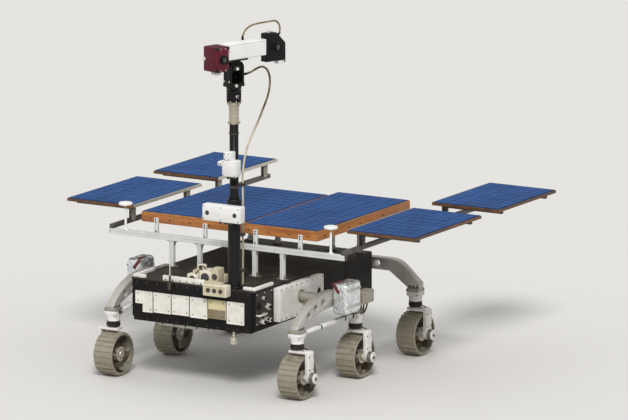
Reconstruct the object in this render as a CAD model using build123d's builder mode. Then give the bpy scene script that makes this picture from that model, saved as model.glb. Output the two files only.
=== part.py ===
from build123d import *
from math import cos, radians, sin, sqrt, tan
import os

# Planetary rover prototype on six steered wheels, with three bogies, fixed solar boards and a camera mast.
# Millimetres. X is forward, Y is to the rover's left, Z is up from the ground. The origin is on the ground
# under the middle of the overall length and width. A place given as "back" is behind the front axle.

# Stance
track = 1200
wheelbase = 1320
mid_axle_back = 640

# Wheels
wheel_diameter = 250
wheel_width = 120
lug_count = 24
lug_height = 6
lug_thickness = 5
hoop_thickness = 3
hub_diameter = 68
hub_width = 100
leaf_count = 6
leaf_sides = 8
leaf_thickness = 3
leaf_width = 70
axle_diameter = 30
pin_clearance = 0.3

# Flats round a plain drum or a lightening hole, and round a disc, a slim rod or a cable
drum_sides = 16
disc_sides = 24
rod_sides = 8
cable_sides = 6

# Legs, each one the knuckle of a steered wheel
leg_width = 60
leg_thickness = 24
leg_corner_radius = 14
leg_head_thickness = 14
leg_head_reach = 40
wheel_side_gap = 6
wheel_top_gap = 12
drive_motor_length = 30
spigot_diameter = 36
spigot_height = 30

# Steering housings on the bogie ends
housing_gap = 6
housing_diameter = 80
housing_drum_height = 63
housing_block_size = 76
housing_block_height = 45

# Bogies
bogie_width = 50
bogie_pad_height = 14
side_pivot_z = 505
side_arch_depth = 90
rear_pivot_z = 510
rear_beam_depth = 70
rear_beam_bend_y = 480
rear_beam_knee_height = 30
bogie_hole_diameter = 40
bogie_hole_pitch = 78
bogie_holes_each_side = 3
rear_hole_pitch = 120
rear_holes_each_side = 3
pivot_diameter = 60
tie_width = 30
tie_height = 20
tie_top_drop = 18

# Foil covered pods on the side bogies
pod_back = 415
pod_length = 170
pod_width = 100
pod_height = 185
pod_bottom_z = 415
pod_corner_chamfer = 20
pod_face_chamfer = 16

# Body
body_width = 800
body_front_ahead = 130
body_rear_back = 1170
belly_z = 366
deck_z = 605
deck_thickness = 8
belly_chamfer = 24
fascia_thickness = 12
fascia_width = 770
side_box_front_back = 80
side_box_length = 480
side_box_depth = 40
side_box_bottom_z = 400
side_box_height = 190
pivot_cutout_clearance = 8
port_back = 516
port_width = 48
port_height = 84
port_z = 477
port_depth = 12

# Blank plates on the front face
front_plate_width = 112
front_plate_gap = 7
front_plate_thickness = 8
front_plate_top_z = 535
front_plates_centre_y = -16
front_plate_rows = (
    # height, width and height of the notch in the lower corner, from the rover's right to its left
    (118, 48, 46),
    (114, 0, 0),
    (112, 0, 0),
    (116, 0, 0),
    (108, 0, 0),
    (126, 0, 0),
)

# Bar and sensor under the front edge
under_bar_length = 360
under_bar_section = 20
under_bar_y = -60
under_sensor_y = 250
under_sensor_diameter = 44
under_sensor_height = 40
under_stem_section = 16
under_stem_height = 36

# Deck equipment
front_instrument_y = 175
front_instrument_width = 150
front_instrument_depth = 55
front_instrument_bottom_z = 565
front_instrument_height = 78
deck_instrument_y = 40
deck_instrument_width = 200
deck_instrument_length = 130
deck_instrument_height = 95
deck_instrument_setback = 40
deck_instrument_blocks = (
    # shares of its length, width and height: rear, right and bottom, then front, left and top
    (0.00, 0.00, 0.00, 0.55, 0.44, 0.62),
    (0.30, 0.40, 0.00, 1.00, 0.78, 0.80),
    (0.60, 0.00, 0.00, 1.00, 0.34, 0.52),
    (0.05, 0.50, 0.00, 0.42, 1.00, 0.50),
    (0.45, 0.76, 0.00, 0.95, 1.00, 1.00),
    (0.10, 0.08, 0.60, 0.35, 0.30, 0.95),
)
deck_bar_y = -65
deck_bar_length = 270
deck_bar_height = 30
deck_bar_thickness = 20
deck_bar_setback = 10
whip_y = -140
whip_diameter = 10
whip_bottom_z = 560
whip_top_z = 844
whip_block_size = 20
whip_block_height = 40
payload_spacing_x = 400
payload_spacing_y = 300
payload_hole_diameter = 9
payload_hole_depth = 28
payload_back = 720

# Lifting eye on the rear face
eye_thickness = 16
eye_width = 60
eye_z = 430
eye_reach = 40
eye_bore_diameter = 24

# Rails under the boards
rail_section = 30
rail_z = 768
rail_length = 1540
front_rail_back = 247
rear_rail_back = 1100
post_section = 24
deck_post_ys = (-420, -180, 180, 420)
body_side_post_inset = 40
lap_post_ys = (-470, -150, 180, 470)
lap_post_depth = 16
lap_post_lap = 30

# Centre boards and their battens
board_front_back = 262
board_thickness = 12
centre_half_width = 575
centre_seam_y = 100
right_board_length = 938
left_board_length = 1038
board_top_z = 895
batten_height = 45
batten_width = 25
seam_batten_width = 50
inner_batten_ys = (-230, 330)
sheet_thickness = 3
sheet_inset = 6

# Wing boards and what carries them
front_wing_back = 370
front_wing_length = 750
front_wing_inner_y = 700
front_wing_outer_y = 1140
wing_gap = 190
rear_wing_length = 675
rear_wing_inner_y = 710
rear_wing_outer_y = 1145
wing_thickness = 16
spar_section = 25
spar_y = 757
spar_rear_inset = 20
rib_height = 22
rib_width = 20
rib_end_inset = 20
rib_edge_inset = 80

# Disc antennas
disc_antenna_y = 670
disc_diameter = 80
disc_height = 18
disc_post_diameter = 14
disc_top_z = 943

# Mast
mast_ahead = 88
mast_y = 247
mast_foot_size = 84
mast_foot_thickness = 12
mast_lower_diameter = 70
mast_lower_top_z = 1110
mast_upper_diameter = 50
mast_upper_top_z = 1530
mast_collar_height = 18
adapter_diameter = 56
adapter_flange_diameter = 74
adapter_flange_height = 14
adapter_top_z = 1655
camera_box_y = 217
camera_box_width = 244
camera_box_depth = 60
camera_box_height = 93
camera_box_bottom_z = 988
mast_box_depth = 60
mast_box_bottom_z = 1245
mast_box_blocks = (
    # right edge and left edge from the middle of the mast, bottom and top from the foot of the box
    (-30, 60, 0, 92),
    (-20, 26, 92, 138),
    (-60, -30, 56, 82),
)

# Pan and tilt unit. The head looks to the rover's left, turned from straight ahead by head_yaw degrees.
head_yaw = 71.6
pan_base_diameter = 84
pan_base_height = 65
pan_gap = 6
pan_spigot_diameter = 30
pan_spigot_height = 24
turntable_height = 14
yoke_base_height = 20
yoke_half_width = 50
yoke_ear_thickness = 12
yoke_ear_width = 60
tilt_axis_z = 1845
tilt_gap = 6
tilt_pin_diameter = 16
tilt_drum_diameter = 60
tilt_plate_thickness = 10
tilt_plate_width = 150
tilt_plate_depth = 70

# Camera bench. "across" runs along the bench, positive towards the black camera.
bench_bottom_z = 1895
bench_height = 90
bench_depth = 80
bench_start_across = -82
bench_end_across = 205
red_camera_width = 91
red_camera_depth = 120
red_camera_height = 140
red_camera_bottom_z = 1840
black_camera_width = 140
black_camera_depth = 52
black_camera_forward = 14
black_camera_height = 160
black_camera_bottom_z = 1854
black_camera_corner_cut = 62
lens_diameter = 44
lens_length = 22
camera_foot_height = 20
camera_foot_width = 40
black_foot_inset = 28

# Head cable, which hangs free from the yoke to a clip on the mast, and the mast cable below it
cable_diameter = 12
cable_standoff = 62
cable_clip_zs = (1182, 900, 700)
clip_height = 16
clip_width = 20
gland_length = 14
gland_diameter = 20
gland_z = 1800
head_cable_points = (
    # across, height
    (64, 1800),
    (110, 1800),
    (156, 1818),
    (202, 1830),
    (240, 1812),
    (262, 1768),
    (262, 1710),
    (246, 1652),
    (214, 1594),
    (184, 1536),
    (150, 1482),
    (122, 1436),
    (94, 1384),
    (74, 1322),
    (62, 1254),
    (62, 1190),
)

# Bench cable, a short loop over the bench from its top to the cut corner of the black camera
bench_cable_diameter = 10
bench_cable_points = (
    # across, height
    (64, 1985),
    (64, 2020),
    (80, 2052),
    (124, 2070),
    (186, 2075),
    (246, 2074),
    (296, 2067),
    (334, 2050),
    (348, 2017),
    (314, 1983),
)


def save(piece, label):
    """Label a finished piece and write it to its own file."""
    piece.part.label = label
    export_step(piece.part, f"parts/{label}.step")


os.makedirs("parts", exist_ok=True)

# Places that follow from the sizes
rear_wing_back = front_wing_back + front_wing_length + wing_gap
rear_reach = rear_wing_back + rear_wing_length
head_sin = sin(radians(head_yaw))
head_cos = cos(radians(head_yaw))
red_camera_end = bench_start_across - red_camera_width
head_reach = red_camera_depth / 2 * head_cos - red_camera_end * head_sin
front_axle_x = (rear_reach - mast_ahead - head_reach) / 2
mid_axle_x = front_axle_x - mid_axle_back
rear_axle_x = front_axle_x - wheelbase
axle_z = wheel_diameter / 2

leg_head_bottom_z = wheel_diameter + wheel_top_gap
leg_head_top_z = leg_head_bottom_z + leg_head_thickness
housing_bottom_z = leg_head_top_z + housing_gap
housing_top_z = housing_bottom_z + housing_drum_height + housing_block_height
bogie_pad_top_z = housing_top_z + bogie_pad_height

body_front_x = front_axle_x + body_front_ahead
tub_front_x = body_front_x - fascia_thickness
body_rear_x = front_axle_x - body_rear_back
tub_length = tub_front_x - body_rear_x
tub_centre_x = (tub_front_x + body_rear_x) / 2
tub_top_z = deck_z - deck_thickness
body_side_y = body_width / 2
payload_x = front_axle_x - payload_back

mast_x = front_axle_x + mast_ahead
rail_bottom_z = rail_z - rail_section / 2
rail_top_z = rail_z + rail_section / 2
board_bottom_z = board_top_z - board_thickness
batten_bottom_z = board_bottom_z - batten_height
board_front_x = front_axle_x - board_front_back

sides = (("left", 1), ("right", -1))
corners = (
    # name, axle x, side
    ("front_left", front_axle_x, 1),
    ("front_right", front_axle_x, -1),
    ("mid_left", mid_axle_x, 1),
    ("mid_right", mid_axle_x, -1),
    ("rear_left", rear_axle_x, 1),
    ("rear_right", rear_axle_x, -1),
)

# Wheels. A hoop with a corner under each lug stands on curved leaf springs from a drum hub.
lug_top = wheel_diameter / 2
hoop_radius = lug_top - lug_height
hoop_inner = hoop_radius - hoop_thickness
hub_radius = hub_diameter / 2
leaf_radius = (hoop_inner - hub_radius) / 2
leaf_place = hub_radius + leaf_radius
lug_root = hoop_radius - hoop_thickness / 2
with BuildSketch() as leaf_band:
    RegularPolygon(leaf_radius + leaf_thickness / 2, leaf_sides)
    RegularPolygon(leaf_radius - leaf_thickness / 2, leaf_sides, mode=Mode.SUBTRACT)
    with Locations((0, -leaf_radius)):
        Rectangle(3 * leaf_radius, 2 * leaf_radius, mode=Mode.SUBTRACT)
for name, axle_x, side in corners:
    wheel_plane = Plane(origin=(axle_x, side * track / 2, axle_z), x_dir=(1, 0, 0), z_dir=(0, side, 0))
    with BuildPart() as wheel:
        with BuildSketch(wheel_plane):
            RegularPolygon(hoop_radius, lug_count)
            with PolarLocations((lug_root + lug_top) / 2, lug_count):
                Rectangle(lug_top - lug_root, lug_thickness)
            RegularPolygon(hoop_inner, lug_count, mode=Mode.SUBTRACT)
        extrude(amount=wheel_width / 2, both=True)
        with BuildSketch(wheel_plane):
            with PolarLocations(leaf_place, leaf_count):
                add(leaf_band.sketch)
        extrude(amount=leaf_width / 2, both=True)
        with BuildSketch(wheel_plane):
            RegularPolygon(hub_radius, drum_sides)
        extrude(amount=hub_width / 2, both=True)
        with BuildSketch(wheel_plane):
            Circle(axle_diameter / 2 + pin_clearance)
        extrude(amount=hub_width / 2, both=True, mode=Mode.SUBTRACT)
    save(wheel, f"wheel_{name}")

# Legs. Each reaches over its wheel, down its outer face to the drive motor and in through the hub.
leg_inner = wheel_width / 2 + wheel_side_gap
leg_outer = leg_inner + leg_thickness
for name, axle_x, side in corners:
    leg_plane = Plane(origin=(axle_x, side * track / 2, 0), x_dir=(0, side, 0), z_dir=(side, 0, 0))
    motor_plane = Plane(origin=(axle_x, side * track / 2, axle_z), x_dir=(1, 0, 0), z_dir=(0, side, 0))
    with BuildPart() as leg:
        with BuildSketch(leg_plane):
            with BuildLine():
                Polyline(
                    (-leg_head_reach, leg_head_bottom_z),
                    (leg_inner, leg_head_bottom_z),
                    (leg_inner, axle_z),
                    (leg_outer, axle_z),
                    (leg_outer, leg_head_top_z),
                    (-leg_head_reach, leg_head_top_z),
                    close=True,
                )
            make_face()
        extrude(amount=leg_width / 2, both=True)
        outer_edges = leg.edges().filter_by(Axis.X).group_by(Axis.Z)[-1]
        fillet(outer_edges.sort_by(Axis.Y)[-1 if side > 0 else 0], leg_corner_radius)
        with BuildSketch(motor_plane.offset(leg_inner)):
            RegularPolygon(leg_width / 2, drum_sides)
        extrude(amount=leg_thickness + drive_motor_length)
        with BuildSketch(motor_plane.offset(leg_inner)):
            Circle(axle_diameter / 2)
        extrude(amount=-leg_inner - hub_width / 2)
        with BuildSketch(Plane((axle_x, side * track / 2, leg_head_top_z))):
            Circle(spigot_diameter / 2)
        extrude(amount=housing_gap + spigot_height)
    save(leg, f"leg_{name}")

# Steering housings, a drum under a square block, bored for the spigot of the leg
with BuildPart() as steer_housings:
    for name, axle_x, side in corners:
        with BuildSketch(Plane((axle_x, side * track / 2, housing_bottom_z))):
            RegularPolygon(housing_diameter / 2, drum_sides)
        extrude(amount=housing_drum_height)
        with BuildSketch(Plane((axle_x, side * track / 2, housing_bottom_z + housing_drum_height))):
            Rectangle(housing_block_size, housing_block_size)
        extrude(amount=housing_block_height)
        with BuildSketch(Plane((axle_x, side * track / 2, housing_bottom_z))):
            Circle(spigot_diameter / 2 + pin_clearance)
        extrude(amount=spigot_height + pin_clearance, mode=Mode.SUBTRACT)
save(steer_housings, "steer_housings")

# Side bogies. Each is an arch over its front and middle wheels, lightened by round holes along its middle.
arch_half = (front_axle_x - mid_axle_x) / 2
arch_x = (front_axle_x + mid_axle_x) / 2
arch_rise = side_pivot_z - bogie_pad_top_z
arch_radius = (arch_half**2 + arch_rise**2) / (2 * arch_rise)
pad_half = housing_block_size / 2
arch_hole_steps = [n * bogie_hole_pitch for n in range(1, bogie_holes_each_side + 1)]
arch_hole_offsets = [-step for step in arch_hole_steps] + arch_hole_steps
for side_name, side in sides:
    bogie_plane = Plane.XZ.offset(-side * track / 2)
    with BuildPart() as side_bogie:
        with BuildSketch(bogie_plane):
            with BuildLine():
                front_out = (front_axle_x + pad_half, bogie_pad_top_z)
                front_in = (front_axle_x - pad_half, bogie_pad_top_z)
                mid_out = (mid_axle_x - pad_half, bogie_pad_top_z)
                mid_in = (mid_axle_x + pad_half, bogie_pad_top_z)
                ThreePointArc(front_out, (arch_x, side_pivot_z + side_arch_depth / 2), mid_out)
                Polyline(
                    mid_out,
                    (mid_axle_x - pad_half, housing_top_z),
                    (mid_axle_x + pad_half, housing_top_z),
                    mid_in,
                )
                ThreePointArc(mid_in, (arch_x, side_pivot_z - side_arch_depth / 2), front_in)
                Polyline(
                    front_in,
                    (front_axle_x - pad_half, housing_top_z),
                    (front_axle_x + pad_half, housing_top_z),
                    front_out,
                )
            make_face()
            for offset_x in arch_hole_offsets:
                hole_z = side_pivot_z - arch_radius + sqrt(arch_radius**2 - offset_x**2)
                with Locations((arch_x + offset_x, hole_z)):
                    RegularPolygon(bogie_hole_diameter / 2, drum_sides, mode=Mode.SUBTRACT)
        extrude(amount=bogie_width / 2, both=True)
    save(side_bogie, f"bogie_{side_name}")

# Rear bogie, a beam across the back of the body that drops to the two rear wheels
rear_top_z = rear_pivot_z + rear_beam_depth / 2
rear_under_z = rear_pivot_z - rear_beam_depth / 2
knee_z = housing_top_z + rear_beam_knee_height
wheel_y = track / 2
with BuildPart() as bogie_rear:
    with BuildSketch(Plane.YZ.offset(rear_axle_x)) as rear_outline:
        with BuildLine():
            Polyline(
                (wheel_y + pad_half, housing_top_z),
                (wheel_y + pad_half, knee_z),
                (rear_beam_bend_y + pad_half / 2, rear_top_z),
                (-rear_beam_bend_y - pad_half / 2, rear_top_z),
                (-wheel_y - pad_half, knee_z),
                (-wheel_y - pad_half, housing_top_z),
                (-wheel_y + pad_half, housing_top_z),
                (-rear_beam_bend_y + pad_half, rear_under_z),
                (rear_beam_bend_y - pad_half, rear_under_z),
                (wheel_y - pad_half, housing_top_z),
                close=True,
            )
        make_face()
        fillet(rear_outline.vertices().group_by(Axis.Y)[-1], 2 * rear_beam_depth)
        for step in range(1, rear_holes_each_side + 1):
            with Locations((step * rear_hole_pitch, rear_pivot_z), (-step * rear_hole_pitch, rear_pivot_z)):
                RegularPolygon(bogie_hole_diameter / 2, drum_sides, mode=Mode.SUBTRACT)
    extrude(amount=bogie_width / 2, both=True)
save(bogie_rear, "bogie_rear")

# Pivots, round shafts from the body to the middle of each bogie
bogie_face_y = track / 2 - bogie_width / 2
rear_bogie_face_x = rear_axle_x + bogie_width / 2
with BuildPart() as bogie_pivots:
    for side_name, side in sides:
        with BuildSketch(Plane((arch_x, side * body_side_y, side_pivot_z), z_dir=(0, side, 0))):
            RegularPolygon(pivot_diameter / 2, drum_sides)
        extrude(amount=bogie_face_y - body_side_y)
    with BuildSketch(Plane((body_rear_x, 0, rear_pivot_z), z_dir=(-1, 0, 0))):
        RegularPolygon(pivot_diameter / 2, drum_sides)
    extrude(amount=body_rear_x - rear_bogie_face_x)
save(bogie_pivots, "bogie_pivots")

# Tie bars between the housings of each side bogie
tie_length = front_axle_x - mid_axle_x - housing_block_size
with BuildPart() as bogie_ties:
    for side_name, side in sides:
        tie_bottom_z = housing_top_z - tie_top_drop - tie_height
        with BuildSketch(Plane((arch_x, side * track / 2, tie_bottom_z))):
            Rectangle(tie_length, tie_width)
        extrude(amount=tie_height)
save(bogie_ties, "bogie_ties")

# Foil covered pods on the outer faces of the side bogies
with BuildPart() as bogie_pods:
    for side_name, side in sides:
        pod_face_y = side * (track / 2 + bogie_width / 2)
        pod_centre = (front_axle_x - pod_back, pod_face_y, pod_bottom_z + pod_height / 2)
        with BuildSketch(Plane(pod_centre, x_dir=(1, 0, 0), z_dir=(0, side, 0))) as pod_outline:
            Rectangle(pod_length, pod_height)
            chamfer(pod_outline.vertices(), pod_corner_chamfer)
        extrude(amount=pod_width)
    outer_faces = bogie_pods.faces().sort_by(Axis.Y)
    chamfer(outer_faces[0].edges() + outer_faces[-1].edges(), pod_face_chamfer)
save(bogie_pods, "bogie_pods")

# Chassis tub with chamfered belly edges, and the deck plate with the payload bolt pattern
with BuildPart() as chassis_tub:
    with BuildSketch(Plane((tub_centre_x, 0, belly_z))):
        Rectangle(tub_length, body_width)
    extrude(amount=tub_top_z - belly_z)
    chamfer(chassis_tub.edges().filter_by(Axis.X).group_by(Axis.Z)[0], belly_chamfer)
    with Locations((payload_x, 0, tub_top_z)):
        with GridLocations(payload_spacing_x, payload_spacing_y, 2, 2):
            Hole(payload_hole_diameter / 2, payload_hole_depth - deck_thickness)
save(chassis_tub, "chassis_tub")

with BuildPart() as deck_plate:
    with BuildSketch(Plane((tub_centre_x + fascia_thickness / 2, 0, tub_top_z))):
        Rectangle(tub_length + fascia_thickness, body_width)
        with Locations((payload_x - tub_centre_x - fascia_thickness / 2, 0)):
            with GridLocations(payload_spacing_x, payload_spacing_y, 2, 2):
                Circle(payload_hole_diameter / 2, mode=Mode.SUBTRACT)
    extrude(amount=deck_thickness)
save(deck_plate, "deck_plate")

# Front fascia and its row of blank plates
with BuildPart() as front_fascia:
    with BuildSketch(Plane((tub_front_x + fascia_thickness / 2, 0, belly_z))):
        Rectangle(fascia_thickness, fascia_width)
    extrude(amount=tub_top_z - belly_z)
save(front_fascia, "front_fascia")

plate_pitch = front_plate_width + front_plate_gap
first_plate_y = front_plates_centre_y - plate_pitch * (len(front_plate_rows) - 1) / 2
with BuildPart() as front_plates:
    with BuildSketch(Plane.YZ.offset(body_front_x)):
        for step, (height, notch_width, notch_height) in enumerate(front_plate_rows):
            plate_y = first_plate_y + step * plate_pitch
            with Locations((plate_y, front_plate_top_z - height / 2)):
                Rectangle(front_plate_width, height)
            if notch_width:
                notch_place = (plate_y - front_plate_width / 2, front_plate_top_z - height)
                with Locations(notch_place):
                    Rectangle(2 * notch_width, 2 * notch_height, mode=Mode.SUBTRACT)
    extrude(amount=front_plate_thickness)
save(front_plates, "front_plates")

# Side boxes, open in a ring round the bogie pivot, with a blind obround port near the back
side_box_centre_x = front_axle_x - side_box_front_back - side_box_length / 2
side_box_centre_z = side_box_bottom_z + side_box_height / 2
port_x = front_axle_x - port_back
with BuildPart() as side_boxes:
    for side_name, side in sides:
        with BuildSketch(Plane.XZ.offset(-side * body_side_y)):
            with Locations((side_box_centre_x, side_box_centre_z)):
                Rectangle(side_box_length, side_box_height)
            with Locations((arch_x, side_pivot_z)):
                RegularPolygon(pivot_diameter / 2 + pivot_cutout_clearance, drum_sides, mode=Mode.SUBTRACT)
        extrude(amount=-side * side_box_depth)
        with BuildSketch(Plane.XZ.offset(-side * (body_side_y + side_box_depth))):
            with Locations((port_x, port_z)):
                SlotOverall(port_height, port_width, rotation=90)
        extrude(amount=side * port_depth, mode=Mode.SUBTRACT)
save(side_boxes, "side_boxes")

# Bar and hanging sensor under the front edge
under_x = tub_front_x - under_bar_section
with BuildPart() as under_bar:
    with BuildSketch(Plane((under_x, under_bar_y, belly_z))):
        Rectangle(under_bar_section, under_bar_length)
    extrude(amount=-under_bar_section)
save(under_bar, "under_bar")

with BuildPart() as under_sensor:
    with BuildSketch(Plane((under_x, under_sensor_y, belly_z))):
        Rectangle(under_stem_section, under_stem_section)
    extrude(amount=-under_stem_height)
    with BuildSketch(Plane((under_x, under_sensor_y, belly_z - under_stem_height))):
        RegularPolygon(under_sensor_diameter / 2, drum_sides)
    extrude(amount=-under_sensor_height)
save(under_sensor, "under_sensor")

# Lifting eye on the rear face, with its bore across the rover
with BuildPart() as lifting_eye:
    with BuildSketch(Plane.XZ):
        with Locations((body_rear_x - eye_reach / 2, eye_z)):
            Rectangle(eye_reach, eye_width)
        with Locations((body_rear_x - eye_reach, eye_z)):
            RegularPolygon(eye_width / 2, drum_sides)
            Circle(eye_bore_diameter / 2, mode=Mode.SUBTRACT)
    extrude(amount=eye_thickness / 2, both=True)
save(lifting_eye, "lifting_eye")

# Deck equipment by the mast
with BuildPart() as front_instrument:
    front_instrument_x = body_front_x + front_instrument_depth / 2
    with BuildSketch(Plane((front_instrument_x, front_instrument_y, front_instrument_bottom_z))):
        Rectangle(front_instrument_depth, front_instrument_width)
    extrude(amount=front_instrument_height)
save(front_instrument, "front_instrument")

instrument_rear_x = body_front_x - deck_instrument_setback - deck_instrument_length
instrument_right_y = deck_instrument_y - deck_instrument_width / 2
with BuildPart() as deck_instrument:
    for rear, right, bottom, front, left, top in deck_instrument_blocks:
        block_x = instrument_rear_x + (rear + front) / 2 * deck_instrument_length
        block_y = instrument_right_y + (right + left) / 2 * deck_instrument_width
        with BuildSketch(Plane((block_x, block_y, deck_z + bottom * deck_instrument_height))):
            Rectangle((front - rear) * deck_instrument_length, (left - right) * deck_instrument_width)
        extrude(amount=(top - bottom) * deck_instrument_height)
save(deck_instrument, "deck_instrument")

with BuildPart() as deck_bar:
    with BuildSketch(Plane((body_front_x - deck_bar_setback - deck_bar_thickness / 2, deck_bar_y, deck_z))):
        Rectangle(deck_bar_thickness, deck_bar_length)
    extrude(amount=deck_bar_height)
save(deck_bar, "deck_bar")

with BuildPart() as whip_antenna:
    with BuildSketch(Plane((body_front_x + whip_block_size / 2, whip_y, whip_bottom_z))):
        Rectangle(whip_block_size, whip_block_size)
    extrude(amount=whip_block_height)
    with BuildSketch(Plane((body_front_x + whip_block_size / 2, whip_y, whip_bottom_z + whip_block_height))):
        RegularPolygon(whip_diameter / 2, rod_sides)
    extrude(amount=whip_top_z - whip_bottom_z - whip_block_height)
save(whip_antenna, "whip_antenna")

# Panel rails across the body, on posts from the deck
rail_xs = (front_axle_x - front_rail_back, front_axle_x - rear_rail_back)
with BuildPart() as panel_rails:
    for rail_x in rail_xs:
        with BuildSketch(Plane((rail_x, 0, rail_bottom_z))):
            Rectangle(rail_section, rail_length)
        extrude(amount=rail_section)
save(panel_rails, "panel_rails")

deck_post_reach = body_side_y - body_side_post_inset
with BuildPart() as deck_posts:
    for rail_x in rail_xs:
        for post_y in deck_post_ys:
            held_y = max(-deck_post_reach, min(deck_post_reach, post_y))
            with BuildSketch(Plane((rail_x, held_y, deck_z))):
                Rectangle(post_section, post_section)
            extrude(amount=rail_bottom_z - deck_z)
save(deck_posts, "deck_posts")

# Battens under the centre boards, each on the rails by short posts
right_rear_x = board_front_x - right_board_length
left_rear_x = board_front_x - left_board_length
edge_batten_y = centre_half_width - batten_width / 2
with BuildPart() as battens_across:
    battens = (
        # x of the middle, y of each end
        (board_front_x - batten_width / 2, -centre_half_width, centre_half_width),
        (right_rear_x + batten_width / 2, -centre_half_width, centre_seam_y),
        (left_rear_x + batten_width / 2, centre_seam_y, centre_half_width),
    )
    for batten_x, y_start, y_end in battens:
        with BuildSketch(Plane((batten_x, (y_start + y_end) / 2, batten_bottom_z))):
            Rectangle(batten_width, y_end - y_start)
        extrude(amount=batten_height)
save(battens_across, "battens_across")

long_battens = (
    # y, width, board length that it runs along
    (-edge_batten_y, batten_width, right_board_length),
    (inner_batten_ys[0], batten_width, right_board_length),
    (centre_seam_y, seam_batten_width, right_board_length),
    (inner_batten_ys[1], batten_width, left_board_length),
    (edge_batten_y, batten_width, left_board_length),
)
with BuildPart() as battens_along:
    for batten_y, width, board_length in long_battens:
        run = board_length - 2 * batten_width
        with BuildSketch(Plane((board_front_x - board_length / 2, batten_y, batten_bottom_z))):
            Rectangle(run, width)
        extrude(amount=batten_height)
save(battens_along, "battens_along")

lap_post_x = board_front_x + lap_post_depth / 2
rear_rail_x = rail_xs[1]
with BuildPart() as batten_posts:
    for post_y in lap_post_ys:
        with BuildSketch(Plane((lap_post_x, post_y, rail_top_z))):
            Rectangle(lap_post_depth, post_section)
        extrude(amount=batten_bottom_z - rail_top_z + lap_post_lap)
    for post_y in (-edge_batten_y, centre_seam_y, edge_batten_y):
        with BuildSketch(Plane((rear_rail_x, post_y, rail_top_z))):
            Rectangle(post_section, post_section)
        extrude(amount=batten_bottom_z - rail_top_z)
save(batten_posts, "batten_posts")

# Centre boards, wing boards and the thin cell sheets on all of them
centre_boards_rows = (
    # y of each edge, length
    (-centre_half_width, centre_seam_y, right_board_length),
    (centre_seam_y, centre_half_width, left_board_length),
)
wing_rows = (
    # back of the front edge, length, inner y, outer y
    (front_wing_back, front_wing_length, front_wing_inner_y, front_wing_outer_y),
    (rear_wing_back, rear_wing_length, rear_wing_inner_y, rear_wing_outer_y),
)
board_gap = 2
board_outlines = []
with BuildPart() as centre_boards:
    for y_start, y_end, length in centre_boards_rows:
        board_x = board_front_x - length / 2
        board_y = (y_start + y_end) / 2
        board_outlines.append((board_x, board_y, length, y_end - y_start - board_gap))
        with BuildSketch(Plane((board_x, board_y, board_bottom_z))):
            Rectangle(length, y_end - y_start - board_gap)
        extrude(amount=board_thickness)
save(centre_boards, "centre_boards")

with BuildPart() as wing_boards:
    for back, length, inner_y, outer_y in wing_rows:
        for side_name, side in sides:
            board_x = front_axle_x - back - length / 2
            board_y = side * (inner_y + outer_y) / 2
            board_outlines.append((board_x, board_y, length, outer_y - inner_y))
            with BuildSketch(Plane((board_x, board_y, board_top_z - wing_thickness))):
                Rectangle(length, outer_y - inner_y)
            extrude(amount=wing_thickness)
save(wing_boards, "wing_boards")

with BuildPart() as cell_sheets:
    for board_x, board_y, length, width in board_outlines:
        with BuildSketch(Plane((board_x, board_y, board_top_z))):
            Rectangle(length - 2 * sheet_inset, width - 2 * sheet_inset)
        extrude(amount=sheet_thickness)
save(cell_sheets, "cell_sheets")

# Wing spars on the rail ends, uprights on the spars and ribs across the uprights
spar_front_x = rail_xs[0] + rail_section / 2
spar_rear_x = front_axle_x - rear_reach + spar_rear_inset
rib_top_z = board_top_z - wing_thickness
rib_bottom_z = rib_top_z - rib_height
with BuildPart() as wing_spars:
    for side_name, side in sides:
        with BuildSketch(Plane(((spar_front_x + spar_rear_x) / 2, side * spar_y, rail_top_z))):
            Rectangle(spar_front_x - spar_rear_x, spar_section)
        extrude(amount=spar_section)
save(wing_spars, "wing_spars")

rib_inner_y = spar_y - spar_section / 2
rib_places = []
for back, length, inner_y, outer_y in wing_rows:
    for rib_back in (back + rib_edge_inset, back + length - rib_edge_inset):
        for side_name, side in sides:
            rib_places.append((front_axle_x - rib_back, side, outer_y - rib_end_inset))
with BuildPart() as wing_ribs:
    for rib_x, side, rib_outer_y in rib_places:
        with BuildSketch(Plane((rib_x, side * (rib_inner_y + rib_outer_y) / 2, rib_bottom_z))):
            Rectangle(rib_width, rib_outer_y - rib_inner_y)
        extrude(amount=rib_height)
save(wing_ribs, "wing_ribs")

with BuildPart() as wing_uprights:
    for rib_x, side, rib_outer_y in rib_places:
        with BuildSketch(Plane((rib_x, side * spar_y, rail_top_z + spar_section))):
            Rectangle(rib_width, spar_section)
        extrude(amount=rib_bottom_z - rail_top_z - spar_section)
save(wing_uprights, "wing_uprights")

# Disc antennas on slim posts from the ends of the front rail
with BuildPart() as disc_antennas:
    for side_name, side in sides:
        with BuildSketch(Plane((rail_xs[0], side * disc_antenna_y, rail_top_z))):
            RegularPolygon(disc_post_diameter / 2, rod_sides)
        extrude(amount=disc_top_z - disc_height - rail_top_z)
        with BuildSketch(Plane((rail_xs[0], side * disc_antenna_y, disc_top_z - disc_height))):
            RegularPolygon(disc_diameter / 2, disc_sides)
        extrude(amount=disc_height)
save(disc_antennas, "disc_antennas")

# Mast, a stepped tube on a square foot, with a light alloy adapter at its top
with BuildPart() as mast_lower:
    with BuildSketch(Plane((mast_x, mast_y, deck_z))):
        Rectangle(mast_foot_size, mast_foot_size)
    extrude(amount=mast_foot_thickness)
    with BuildSketch(Plane((mast_x, mast_y, deck_z + mast_foot_thickness))):
        Circle(mast_lower_diameter / 2)
    extrude(amount=mast_lower_top_z - deck_z - mast_foot_thickness)
save(mast_lower, "mast_lower")

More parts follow.
